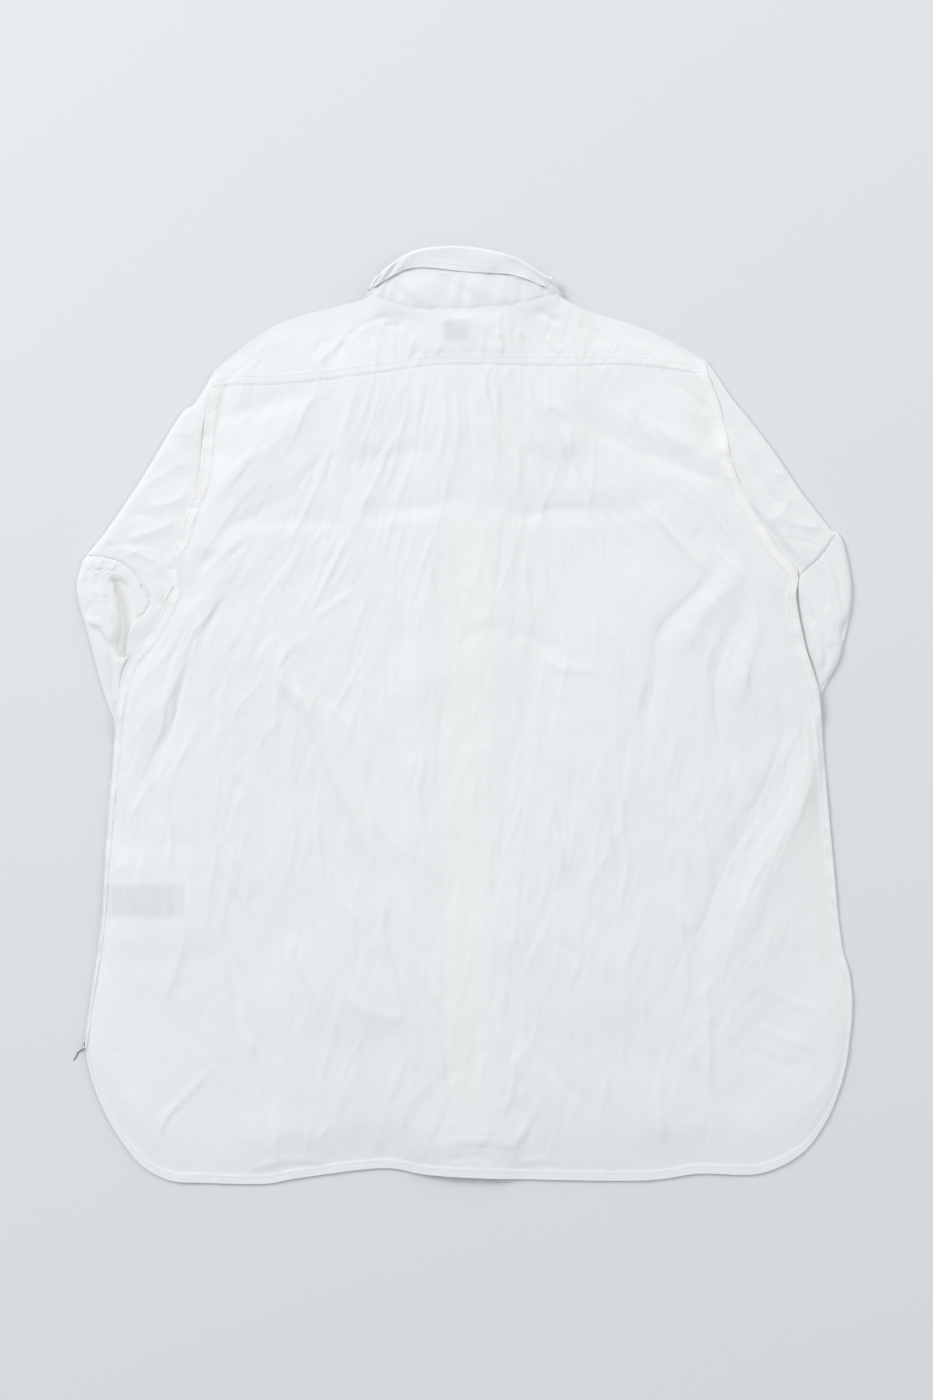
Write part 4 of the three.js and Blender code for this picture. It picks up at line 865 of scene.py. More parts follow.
lamps = [
    {"name": "keyLeft", "at": (-2.6, 2.2, 2.8), "size": 2.0, "power": 95, "colour": (0.97, 0.985, 1.0)},
    {"name": "fillRight", "at": (3.0, 1.9, 2.6), "size": 4.5, "power": 60, "colour": (1.0, 0.985, 0.965)},
]
world = {"colour": (0.93, 0.965, 1.0), "strength": 0.52}


def makeLights():
    for lamp in lamps:
        data = bpy.data.lights.new(lamp["name"], "AREA")
        data.size = lamp["size"]
        data.energy = lamp["power"]
        data.color = lamp["colour"]
        light = bpy.data.objects.new(lamp["name"], data)
        light.location = lamp["at"]
        light.rotation_euler = (-Vector(lamp["at"])).to_track_quat("-Z", "Y").to_euler()
        bpy.context.scene.collection.objects.link(light)
    scene = bpy.context.scene
    scene.world = scene.world or bpy.data.worlds.new("world")
    scene.world.use_nodes = True
    sky = scene.world.node_tree.nodes["Background"]
    sky.inputs["Color"].default_value = (*world["colour"], 1)
    sky.inputs["Strength"].default_value = world["strength"]
    scene.view_settings.view_transform = "Standard"


makeFloor()
makeCamera()
makeLights()
print("stage ready")

# the back and yoke

backShape = {"air": 3.2, "fade": 2, "armhole": 3.4, "fell": 10, "hem": 8, "fellRise": 0.7}
puckerLook = {"fell": 1.3, "besideFell": 0.6, "hem": 0.6, "aboveHem": 0.35, "gathers": 0.55}


def sideDistance(x, y, column):
    # from the nearer side edge, in millimetres
    onLeft = column <= weft["columns"] / 2
    edge = np.where(onLeft, x[:, :1], x[:, -1:])
    edgeY = np.where(onLeft, y[:, :1], y[:, -1:])
    return np.hypot(x - edge, y - edgeY)


def puckers(place, wave, seed):
    # uneven small waves along a seam, from -1 to 1
    random = np.random.default_rng(seed)
    knots = np.arange(-60, 60 + 900 / wave)
    heights = random.uniform(-1, 1, len(knots)) * np.where(np.arange(len(knots)) % 2, 1, -1) * 0.5
    return np.interp(place / wave, knots, heights)


def bodyAir(x, y, column, row, field):
    fromSide = np.minimum(column, weft["columns"] - column)
    full = backShape["air"] * smooth(row / backShape["fade"]) * smooth(fromSide / backShape["fade"])
    folds = sampled(field, x, y) * smooth((fromSide + 0.35) / 1.3) * smooth((row + 0.25) / 0.9)
    inside = full + folds + 0.5
    inside = 0.5 * (inside + np.sqrt(inside ** 2 + 1.2)) - 0.45
    beside = backShape["armhole"] * mixed(0.25, 1, smooth((row - 25) / 5)) * smooth((row - 24.3) / 1.2)
    return mixed(beside, inside * smooth((fromSide + 0.6) / 2) * smooth(row / 0.9), smooth(fromSide / 1.1))


def backTop(x, y, column, row, field):
    resting = backUnder(x, y, column) + cloth["gap"] + careLabelLift(x, y)
    loose = resting + bodyAir(x, y, column, row, field)
    up = np.clip((row - weft["seamRow"]) / (weft["topRow"] - weft["seamRow"]), 0, 1)
    inNeck = smooth((neckLine["halfWidth"] + neckLine["outside"] - np.abs(x)) / neckLine["blend"])
    shoulder = mixed(loose, resting, smooth(up))
    seam = np.maximum(resting, neckSeamHeight(x, smooth((up - 0.75) * 4)) - cloth["cadPly"] / 2)
    folds = sampled(field, x, y) * smooth(up * 3) * smooth((1 - up) * 4)
    neck = mixed(loose, seam, smooth(up * 1.2)) + 1.1 * folds
    return mixed(shoulder + 0.7 * folds * up, neck, inNeck) + cloth["ply"]


def seamRelief(x, y, column, row):
    # felled side and armhole seams, and the turned hem
    d = sideDistance(x, y, column)
    lengthwise = y + np.where(column <= weft["columns"] / 2, 0, 400)     # each side has its own puckers
    fell = smooth((backShape["fell"] + 0.8 - d) / 1.6)
    rise = fell * (backShape["fellRise"] + puckerLook["fell"] * puckers(lengthwise, 8.5, 11))
    beyond = np.exp(-np.maximum(0, d - backShape["fell"]) / 5) * (d > 0)
    rise += puckerLook["besideFell"] * puckers(lengthwise + 90, 8.5, 12) * beyond
    hemLine = row * weft["rowPitch"]
    hem = smooth((backShape["hem"] + 0.8 - hemLine) / 1.6)
    rise += hem * (0.45 + puckerLook["hem"] * puckers(x * 1.05, 7.5, 13)) * smooth(d / 4)
    above = np.exp(-np.maximum(0, hemLine - backShape["hem"]) / 7) * (1 - hem)
    rise += puckerLook["aboveHem"] * puckers(x + 30, 9.5, 14) * above
    gathers = np.exp(-np.maximum(0, weft["seamRow"] - row) * weft["rowPitch"] / 26) * (row <= weft["seamRow"])
    rise += puckerLook["gathers"] * gathers * puckers(x + 300, 6.8, 15) * smooth((170 - np.abs(x + 10)) / 60)
    return rise


through = {"careLabel": 0.34, "neckLabel": 0.36, "soft": 3.5, "sleeves": 0.035, "band": 0.3,
           "sideSeam": 0.3, "armhole": 0.85, "underarmRow": 20.5}


def throughTint(x, y, column, row):
    # what lies beneath shows through: labels and sleeves darker, the folded band and the fells brighter
    def box(label):
        soft = through["soft"]
        across = smooth((label["width"] / 2 + soft - np.abs(x - label["x"])) / (2 * soft))
        return across * smooth((label["height"] / 2 + soft - np.abs(y - label["y"])) / (2 * soft))

    streaks = 1 + 0.5 * puckers(x + 400, 2.4, 16) + 0.3 * puckers(x + 400, 7, 17)
    shade = through["careLabel"] * box(careLabel) * streaks + through["neckLabel"] * box(neckLabel) * streaks
    shade += through["sleeves"] * smooth((3 - armDistance(x, y)) / 6)
    inBand = smooth((band["halfWidth"] + 3 - np.abs(x - band["centre"])) / 7)
    glow = through["band"] * inBand * smooth((200 - y) / 60) * smooth((y + 400) / 120)
    felled = smooth((backShape["fell"] + 0.8 - sideDistance(x, y, column)) / 1.6) * (row < weft["seamRow"])
    glow += mixed(through["sideSeam"], through["armhole"], smooth((row - through["underarmRow"]) / 1.5)) * felled
    sewn = np.maximum(felled, 0.8 * smooth((9 - row * weft["rowPitch"]) / 2))
    toSeam = np.abs(row - weft["seamRow"]) * weft["yokePitch"]
    sewn = np.maximum(sewn, 0.5 * smooth((11 - toSeam) / 6) * (row >= weft["seamRow"]))
    return {"shade": np.clip(shade, 0, 1), "glow": np.clip(glow, 0, 1), "sewn": sewn}


def seamIndex():
    return int(np.searchsorted(gridRow[:, 0], weft["seamRow"] - 1e-6))


surfaces = {}


def makeBack():
    top = seamIndex() + 1
    x, y, column, row = (a[:top] for a in (gridX, gridY, gridColumn, gridRow))
    z = backTop(x, y, column, row, relief) + seamRelief(x, y, column, row)
    drop = edgeDroop(x, y, frontUnder(x, y), sideDistance(x, y, column))
    z -= drop
    z -= 0.45 * smooth((row - weft["seamRow"] + 0.12) / 0.12)     # tucked under the yoke's edge
    z = np.maximum(z, frontTop(x, y, column) - drop + cloth["gap"] * 0.4 + cloth["ply"])
    surfaces["back"] = np.stack([x, y, z], -1)
    points, faces, origin = shell(surfaces["back"], cloth["ply"], coarse=6)
    tints = {key: value.ravel()[origin] for key, value in throughTint(x, y, column, row).items()}
    return clothPiece("backPanel", (points, faces), ["back"], values=tints)


def makeYoke():
    start = seamIndex()
    x, y, column, row = (a[start:].copy() for a in (gridX, gridY, gridColumn, gridRow))
    y[0] -= 1.4
    z = backTop(x, y, column, row, relief)
    upward = y - y[0]
    z += 0.25 + 0.3 * smooth((9 - upward) / 2) * (0.5 + 0.7 * puckers(x, 7, 21))
    z -= 0.3 * smooth((1.2 - upward) / 1.2)
    atNeck = smooth((neckLine["halfWidth"] + 3 - np.abs(x)) / 5)
    toSeam = y[-1] - y
    z += 0.5 * puckers(x, 8, 22) * smooth((12 - toSeam) / 10) * smooth(toSeam / 2) * atNeck
    y[-1] += 2.2 * atNeck[-1]      # on under the collar stand
    surfaces["yoke"] = np.stack([x, y, z], -1)
    points, faces, origin = shell(surfaces["yoke"], cloth["ply"])
    tints = {key: value.ravel()[origin] for key, value in throughTint(x, y, column, row).items()}
    return clothPiece("yokePanel", (points, faces), ["yoke"], values=tints)


back = makeBack()
yoke = makeYoke()
print("back and yoke cut")

# the fronts and the button band, seen from underneath

neckCurve = [(-87, 372), (-80.5, 360.5), (-60.5, 330.5), (-28, 302.5), (-12, 295.5), (12, 295.5), (26, 302.5),
             (60.5, 330.5), (80.5, 360.5), (87, 372)]
frontLook = {"neckRow": 27, "wave": 0.5}


def frontGrid(first, last):
    # the body's points between two columns, drawn down to the neck opening
    columns = gridColumn[0]
    keep = (columns >= first - 1e-6) & (columns <= last + 1e-6)
    x, y, column, row = (a[:, keep][::2] for a in (gridX, gridY, gridColumn, gridRow))
    base = np.argmin(np.abs(row[:, 0] - frontLook["neckRow"]))
    neckX, neckY = np.array(neckCurve).T
    wanted = np.interp(x[-1], neckX, neckY, left=1e3, right=1e3)
    top = np.minimum(wanted, y[-1])
    share = (top - y[base]) / (y[-1] - y[base])
    lowered = y.copy()
    lowered[base:] = y[base] + (y[base:] - y[base]) * share
    return x, lowered, column, row


def makeUnderRelief():
    field = reliefField()
    across, up, height = field
    random = np.random.default_rng(77)
    for _ in range(crinkle["beneath"]):
        x, y = random.uniform(-330, 335), random.uniform(-405, 340)
        turn = grainAt(x, y) + random.normal(0, 0.35)
        long = random.uniform(*crinkle["beneathLength"])
        dx, dy = math.cos(turn) * long / 2, math.sin(turn) * long / 2
        bow = random.normal(0, 0.12)
        points = [(x - dx, y - dy), (x - dy * bow, y + dx * bow), (x + dx, y + dy)]
        wide = random.uniform(2.2, 6)
        addCrease(field, points, wide, wide * random.uniform(0.7, 1.7), random.uniform(*crinkle["beneathRise"]),
                  0.5, 0.4)
    return across, up, height + 0.35 * cloudField(across, up, 30, 9) - 0.25


underRelief = makeUnderRelief()


def frontPiece(name, node, first, last, ply, step):
    x, y, column, row = frontGrid(first, last)
    edge = smooth(row / 0.35) * smooth(np.minimum(column, weft["columns"] - column) / 0.4)
    z = frontUnder(x, y) - edgeDroop(x, y, frontUnder(x, y), sideDistance(x, y, column))
    z = z + (overBand(column) if step else 0)
    z = z + frontLook["wave"] * np.maximum(0, sampled(underRelief, x, y)) * edge    # off the surface
    surfaces[name] = np.stack([x, y, z], -1)
    return clothPiece(name, shell(surfaces[name], ply, faceUp=False), [node])


bandFrom, bandTo = weft["bandColumn"], weft["bandEndColumn"]
frontLeft = frontPiece("frontLeftPanel", "front_left", 0, bandFrom, cloth["ply"], False)
frontRight = frontPiece("frontRightPanel", "front_right", bandFrom, weft["columns"], cloth["ply"], True)
placket = frontPiece("buttonBand", "placket", bandFrom, bandTo, cloth["placketPly"], False)
print("fronts and band cut")

# collar

collarStations = [  # stand seam, stand top, roll and leaf edge, with the roll's radius
    ((12, 296, 3.7), (12, 322, 3.7), (12, 329, 3.7), (-10, 262, 1.1), 1.3),
    ((-28, 303, 3.7), (-26, 328, 3.7), (-26, 335, 3.7), (-42, 262, 1.1), 1.3),
    ((-60, 331, 3.7), (-54, 350, 3.9), (-52, 358, 3.9), (-76, 296, 1.1), 1.4),
    ((-80, 361, 3.9), (-73, 373, 4.8), (-71, 378, 4.8), (-93, 346, 1.1), 1.8),
    ((-86, 373.5, 6.4), (-79, 382, 8.0), (-76, 387, 9.8), (-87, 374.5, 2.2), 1.8),
    ((-72, 368.6, 9.4), (-67, 387, 11.8), (-67, 396, 13.2), (-76.5, 382, 12.8), 1.9),
    ((-43, 361.6, 12.2), (-40, 388, 14.8), (-41, 410, 15.4), (-46, 396.5, 16.6), 2.0),
    ((0, 361, 13.0), (0, 389, 15.4), (0, 413, 15.8), (0, 393.5, 16.7), 2.0),
    ((43, 364.8, 12.2), (40, 389, 14.8), (41, 405, 15.4), (43, 390, 16.5), 2.0),
    ((72, 371.2, 9.4), (66, 387, 11.8), (66, 392, 13.0), (73.5, 379.5, 12.6), 1.9),
    ((86, 374.5, 6.4), (79, 382, 8.0), (76, 386.5, 9.8), (87, 375, 2.0), 1.8),
    ((80, 361, 4.0), (73, 373, 5.0), (71, 378, 5.0), (93, 346, 1.1), 1.8),
    ((60, 331, 4.4), (54, 350, 4.6), (52, 358, 4.6), (76, 296, 1.1), 1.7),
    ((26, 303, 5.6), (25, 328, 5.8), (25, 336, 5.8), (43, 262, 1.1), 2.3),
    ((-12, 296, 6.3), (-12, 322, 6.3), (-12, 330, 6.3), (12, 262, 1.1), 2.5),
]
collar = {"around": 260, "leafEnd": 0.045, "leafStart": 1.5, "lowest": 0.75}


def stationLine(k, t):
    line = curve([s[k] for s in collarStations], 700)
    place = np.linspace(0, 1, len(line))
    return np.stack([np.interp(t, place, line[:, axis]) for axis in range(3)], -1)


def makeStand():
    t = np.linspace(0, 1, collar["around"])
    base, top, crown = (stationLine(k, t) for k in range(3))
    upward = (crown - top) / np.linalg.norm(crown - top, axis=1, keepdims=True)
    top = top + upward * (collar["leafStart"] - 0.15)
    up = np.linspace(0, 1, 13)[:, None, None]
    middle = base[None] * (1 - up) + top[None] * up
    backHalf = smooth((0.28 - np.abs(t - 0.5)) / 0.06)
    up = up[..., 0]
    length = t * 560                                     # millimetres along the stand
    waves = 2.6 * puckers(length[None], 6.5, 31)
    slanted = 1.8 * puckers(length[None] + 40 * up, 15, 36)
    swell = np.sin(np.pi * up) * (0.4 + waves + slanted)
    middle[..., 2] += swell * backHalf + 0.9 * backHalf * puckers(length, 5.5, 32) * np.exp(-up * 4)
    middle[0, :, 1] -= 1.2 * backHalf
    middle[0, :, 2] -= 0.75 * backHalf
    middle[1, :, 2] -= 0.3 * backHalf
    surfaces["stand"] = middle + [0, 0, cloth["standPly"] / 2]
    return wall(middle, cloth["standPly"])


def makeLeaf():
    t = mixed(collar["leafEnd"], 1 - collar["leafEnd"], np.linspace(0, 1, collar["around"]))
    start, crown, end = (stationLine(k, t) for k in (1, 2, 3))
    radius = np.interp(t, np.linspace(0, 1, len(collarStations)), [s[4] for s in collarStations])[:, None]
    upward = crown - start
    upward /= np.linalg.norm(upward, axis=1, keepdims=True)
    outward = np.cross(np.gradient(start, axis=0), upward)
    outward /= np.linalg.norm(outward, axis=1, keepdims=True)
    start = start + upward * collar["leafStart"]
    centre = crown + outward * radius
    rows = [mixed(start, crown, k / 6) for k in range(6)]
    for k in range(10):
        angle = math.pi * k / 9
        rows.append(centre - outward * radius * math.cos(angle) + upward * radius * math.sin(angle))
    after = centre + outward * radius
    rows += [mixed(after, end, k / 16) for k in range(1, 17)]
    middle = np.array(rows)
    fall = np.clip((np.arange(len(rows)) - 12) / 19, 0, 1)[:, None]
    backHalf = smooth((0.27 - np.abs(t - 0.5)) / 0.08)
    length = t * 620                                     # millimetres along the leaf
    ripple = puckers(length, 14, 33) * 4 * np.sin(np.pi * fall) + puckers(length, 6.5, 34) * fall
    ripple = ripple * 1.1 + 0.1 * smooth((fall - 0.68) / 0.08) - 0.2
    middle[..., 2] += ripple * backHalf
    middle[..., 1] += 0.7 * puckers(length, 22, 35) * fall * backHalf
    middle[..., 2] = np.maximum(middle[..., 2], collar["lowest"])
    surfaces["leaf"] = middle + [0, 0, cloth["leafPly"] / 2]
    return wall(middle, cloth["leafPly"])


stand = clothPiece("collarStand", makeStand(), ["collar_stand"])
leaf = clothPiece("collarLeaf", makeLeaf(), ["collar_leaf"])
print("collar made")

# sleeves: an upper layer from the armhole to the bend, and the lower sleeve tucked beneath the body

upperSleeves = {
    "left": {
        "side": -1,
        "outer": [(-222.8, 307), (-239.4, 278), (-252.8, 267), (-287.5, 210), (-317.7, 165.5),
                  (-334.6, 144.2)],
        "end": [(-334.6, 144.2), (-326.6, 141.8), (-308.8, 138.8), (-297, 131), (-289.3, 122.8), (-281, 110),
                (-278.6, 98.8), (-284, 90), (-294.6, 81.9), (-300, 64), (-303.5, 46.3)],
        "inner": [(-263.8, 133), (-252, 114), (-262, 84), (-280, 52), (-303.5, 46.3)],
        "crown": 6.5, "endHeight": 6.2, "tuck": 0.72, "underarm": 5.2,
    },
    "right": {
        "side": 1,
        "outer": [(215.8, 316), (237.6, 284), (255, 262.6), (276, 235), (299, 201), (329.3, 162)],
        "end": [(329.3, 162), (322, 150), (313.3, 139.7), (305, 132), (297.5, 125)],
        "inner": [(296.8, 128), (297.2, 126.5), (297.5, 125)],
        "crown": 6.5, "endHeight": 6.4, "tuck": 2, "underarm": 7.2,
    },
}
sleeveFolds = {
    "left": [([(-256, 252), (-239, 250)], 4, 5, 1.2),
             ([(-278, 186), (-262, 189), (-245, 196)], 4, 5, 1.3),
             ([(-299, 157), (-276, 164), (-254, 174)], 6, 5, 1.8),
             ([(-322, 150), (-290, 152), (-270, 150)], 5, 4, -1.3),
             ([(-312, 152), (-286, 143), (-272, 136)], 4, 4, 1.4),
             ([(-262, 225), (-250, 215), (-243, 200)], 5, 5, -1.2),
             ([(-290, 200), (-270, 212), (-248, 226)], 7, 6, 1.5),
             ([(-300, 178), (-283, 178), (-262, 170)], 5, 6, -1.4),
             ([(-282, 132), (-273, 118), (-268, 100)], 5, 4, 1.2),
             ([(-271, 128), (-265, 112), (-270, 96)], 3, 4, -1.0)],
    "right": [([(240, 262), (262, 232), (285, 205)], 7, 7, 1.7),
              ([(236, 245), (252, 222), (268, 200)], 5, 5, -1.3),
              ([(292, 196), (282, 180), (270, 172)], 4, 5, 1.3),
              ([(262, 202), (286, 186), (306, 176)], 6, 5, -1.3),
              ([(276, 176), (297, 170), (318, 166)], 5, 4, 1.6),
              ([(286, 158), (300, 156), (316, 150)], 4, 4, -1.2),
              ([(282, 168), (288, 150), (298, 136)], 4, 4, 1.3),
              ([(250, 240), (268, 214), (276, 196)], 5, 5, 1.2)],
}


def armholeLine(side, count):
    # the body's armhole edge from the shoulder down, just outside the panels, as high as the back is there
    column = 0 if side < 0 else -1
    rows = gridRow[:, 0] > 15
    x, y = gridX[rows, column] - side * 2.4, gridY[rows, column]
    z = backTop(gridX, gridY, gridColumn, gridRow, relief)[rows, column] - 0.5
    line = np.stack([x, y, z], -1)[::-1]
    low = {-1: 133, 1: 128}[side]
    line = line[line[:, 1] >= low - 0.5]
    return along(line, np.linspace(0, 1, count))


def foldsOn(points, folds, seed):
    field = reliefField()
    for path, left, right, rise in folds:
        addCrease(field, path, left, right, rise * 0.6)
    random = np.random.default_rng(seed)
    low, high = points.reshape(-1, 2).min(0), points.reshape(-1, 2).max(0)
    for _ in range(60):
        x, y = random.uniform(low[0], high[0]), random.uniform(low[1], high[1])
        turn = random.uniform(0.2, 1.2) if x < 0 else math.pi - random.uniform(0.2, 1.2)
        long = random.uniform(10, 32)
        dx, dy = math.cos(turn) * long / 2, math.sin(turn) * long / 2
        addCrease(field, [(x - dx, y - dy), (x + dx, y + dy)], 2.4, random.uniform(2, 4),
                  random.uniform(0.2, 0.5) * random.choice([-0.7, 1]), 0.6, 0.4)
    across, up, height = field
    return across, up, height + 0.25 * cloudField(across, up, 14, seed)


def upperSleeve(spec, folds, seed):
    count = {"around": 112, "down": 120}
    seam = armholeLine(spec["side"], count["around"])
    across = np.linspace(0, 1, count["around"])
    down = np.linspace(0, 1, count["down"])
    end = along(curve(spec["end"]), across)
    outer = along(curve(spec["outer"]), down)
    inner = along(curve(spec["inner"]), down)
    outer[0], inner[0] = seam[0, :2], seam[-1, :2]
    flat = filled(seam[:, :2], end, outer, inner, across, down)
    u, v = across[None], down[:, None]
    field = foldsOn(flat, folds, seed)
    fromOuter = np.hypot(flat[..., 0] - flat[:, :1, 0], flat[..., 1] - flat[:, :1, 1])
    fromEnd = np.hypot(flat[..., 0] - end[None, :, 0], flat[..., 1] - end[None, :, 1])
    hump = np.sin(np.pi * np.clip(u * 0.9 + 0.08, 0, 1)) * spec["crown"] * 0.55
    crown = mixed(4.3, spec["underarm"], smooth((u - 0.3) / 0.7)) + hump
    z = mixed(seam[None, :, 2] + 0 * v, crown, smooth(v / 0.3))
    z = mixed(z, spec["endHeight"] + 0 * z, smooth((v - 0.6) / 0.4) * 0.7)
    if spec["tuck"] < 1:
        z = mixed(z, 4.2, smooth((u - spec["tuck"]) / (1 - spec["tuck"])) * smooth(v / 0.25))
    z = z + sampled(field, flat[..., 0], flat[..., 1]) * smooth(fromOuter / 8) * smooth((v - 0.02) / 0.08)
    z += 0.9 * puckers(u * 190, 8, seed + 2) * np.exp(-v * 12) * smooth((v - 0.03) / 0.04)
    edge = np.sqrt(np.clip(1 - (1 - np.clip(fromOuter / 7, 0, 1)) ** 2, 0, 1))
    z = 2.0 + (z - 2.0) * edge
    roll = np.sqrt(np.clip(1 - (1 - np.clip(fromEnd / 3.2, 0, 1)) ** 2, 0, 1))
    z = (z - 5.3) * mixed(1, roll, smooth((v - 0.3) / 0.2)) + 5.3
    fromSeam = np.hypot(flat[..., :1] - seam[:, 0], flat[..., 1:] - seam[:, 1])
    atSeam = seam[fromSeam.argmin(-1), 2]
    z = mixed(z, atSeam, smooth(1 - (fromSeam.min(-1) - 4) / 10) * smooth((u - 0.6) / 0.15))
    z = mixed(z, 1.6, smooth((54 - flat[..., 1]) / 8))
    z = np.maximum(z, 1.4)
    surfaces["upper" + str(spec["side"])] = np.stack([flat[..., 0], flat[..., 1], z], -1)
    return shell(surfaces["upper" + str(spec["side"])], cloth["ply"], coarse=4)[:2]


def flatTube(sections, rings, top, ply, side, relief=None):
    # a flattened tube: over the top from the outer edge to the underarm, and back underneath
    outer = curve([s[0] for s in sections], rings - 1)
    inner = curve([s[1] for s in sections], rings - 1)
    turn = (1 - np.cos(np.linspace(0, math.pi, 46))) / 2
    over = np.concatenate([turn, turn[-2:0:-1]])
    isTop = np.concatenate([np.ones(len(turn), bool), np.zeros(len(turn) - 2, bool)])
    wide = np.linalg.norm(outer - inner, axis=1)[:, None]
    inset = ply / 2 / wide
    share = inset + (1 - 2 * inset) * over[None]
    x = outer[:, :1] * (1 - share) + inner[:, :1] * share
    y = outer[:, 1:] * (1 - share) + inner[:, 1:] * share
    bulge = np.sqrt(np.clip(1 - np.abs(2 * over - 1) ** sleeveFlat["flatness"], 0, 1))[None]
    half = sleeveFlat["height"] / 2 - ply / 2
    z = sleeveFlat["height"] / 2 + np.where(isTop, 1, -1) * half * bulge + 0 * x
    if top is not None:
        z = np.where(isTop, z + top(x, y) * bulge, z)
    if relief is not None:
        lift = np.clip(sampled(relief, x, y), 0, 1.4) * bulge * 0.4
        z = np.where(isTop, z, z + lift)
    middle = np.stack([x, y, z], -1)
    return wall(middle, ply, flip=side < 0, ringed=True)


lowerSleeves = {
    "left": [((-330, 142), (-258, 128)), ((-343, 122), (-246, 112)), ((-342, 104), (-232, 96)),
             ((-334, 74), (-214, 84)), ((-318, 15), (-190, 80)), ((-290, -50), (-160, 32)),
             ((-252, -112), (-127, -32)), ((-212, -170), (-92, -102)), ((-167, -226), (-53, -171))],
    "right": [((326, 166), (286, 148)), ((337, 152), (276, 128)), ((343, 128), (264, 106)),
              ((344, 100), (246, 94)), ((335, 58), (224, 92)), ((313, 10), (196, 84)),
              ((284, -45), (166, 42)), ((250, -102), (138, -15)), ((214, -160), (102, -88)),
              ((177, -224), (63, -172))],
}
elbowFolds = {
    "left": [([(-309, 124), (-302, 104), (-300, 77), (-306, 47)], 5.5, 6.5, -6.5),
             ([(-316, 122), (-306, 116), (-299, 108)], 5, 4, -2.5),
             ([(-330, 119), (-324, 104), (-317, 86), (-314, 62)], 6, 6, 2.2),
             ([(-335, 88), (-328, 83), (-320, 86), (-315, 95)], 3, 3.5, 2.2),
             ([(-333, 84), (-318, 66), (-311.5, 42), (-311, 12)], 2, 4, -2.0),
             ([(-327, 110), (-323, 96)], 2.4, 2.4, -1.3),
             ([(-318, 108), (-314, 96)], 2, 2.4, -1.1)],
    "right": [([(297, 124), (314, 96), (334, 60)], 2.2, 8, 2.4),
              ([(293, 116), (296, 92), (302, 60), (309, 30)], 3.5, 5, -4.6),
              ([(315, 146), (325, 120), (330.5, 96), (332, 74)], 4.5, 4.5, 1.8),
              ([(309, 138), (318, 116), (325, 92)], 1.6, 3, -1.2),
              ([(310, 84), (316, 62), (318, 40)], 2.4, 5, 1.6),
              ([(318, 74), (322, 56), (321, 38)], 2, 3, -1.2),
              ([(303, 108), (312, 82)], 2, 3, -1.0)],
}
elbows = {
    "left": {
        "side": -1,
        "outer": [(-333, 147), (-343.6, 124), (-343.4, 104), (-334.6, 72), (-318.8, 15), (-304, -18)],
        "inner": [(-262, 133), (-240, 104), (-244, 66), (-256, 20), (-262, -18)],
        "top": [(-333, 147), (-300, 146), (-262, 133)], "bottom": [(-304, -18), (-262, -18)],
        "full": 2.3,
    },
    "right": {
        "side": 1,
        "outer": [(327, 168), (336.4, 157), (342.8, 130), (344.8, 111), (342.6, 91), (336.2, 76),
                  (335.8, 58.7), (329.4, 41), (315.4, 19.6), (298, -14)],
        "inner": [(288, 148), (262, 118), (260, 70), (262, 26), (262, -14)],
        "top": [(327, 168), (306, 160), (288, 148)], "bottom": [(298, -14), (262, -14)],
        "full": 2.6,
    },
}


def beneathElbow(side):
    def lower(x, y):
        return -1.3 * smooth((bodyGap(x, y, side) + 14) / 6) * smooth((y + 8) / 12)
    return lower


def beneath(surface, x, y):
    # the height of a layer above these places, very high where there is none
    across, up, height = reliefField()
    height += 99
    i = np.rint((surface[..., 0] - across[0]) / crinkle["cell"]).astype(int)
    j = np.rint((surface[..., 1] - up[0]) / crinkle["cell"]).astype(int)
    np.minimum.at(height, (j, i), np.where(surface[..., 1] > 54, surface[..., 2], 99))
    height = spreadLowest(height, 1)
    i = np.rint((x - across[0]) / crinkle["cell"]).astype(int)
    j = np.rint((y - up[0]) / crinkle["cell"]).astype(int)
    return height[j, i]


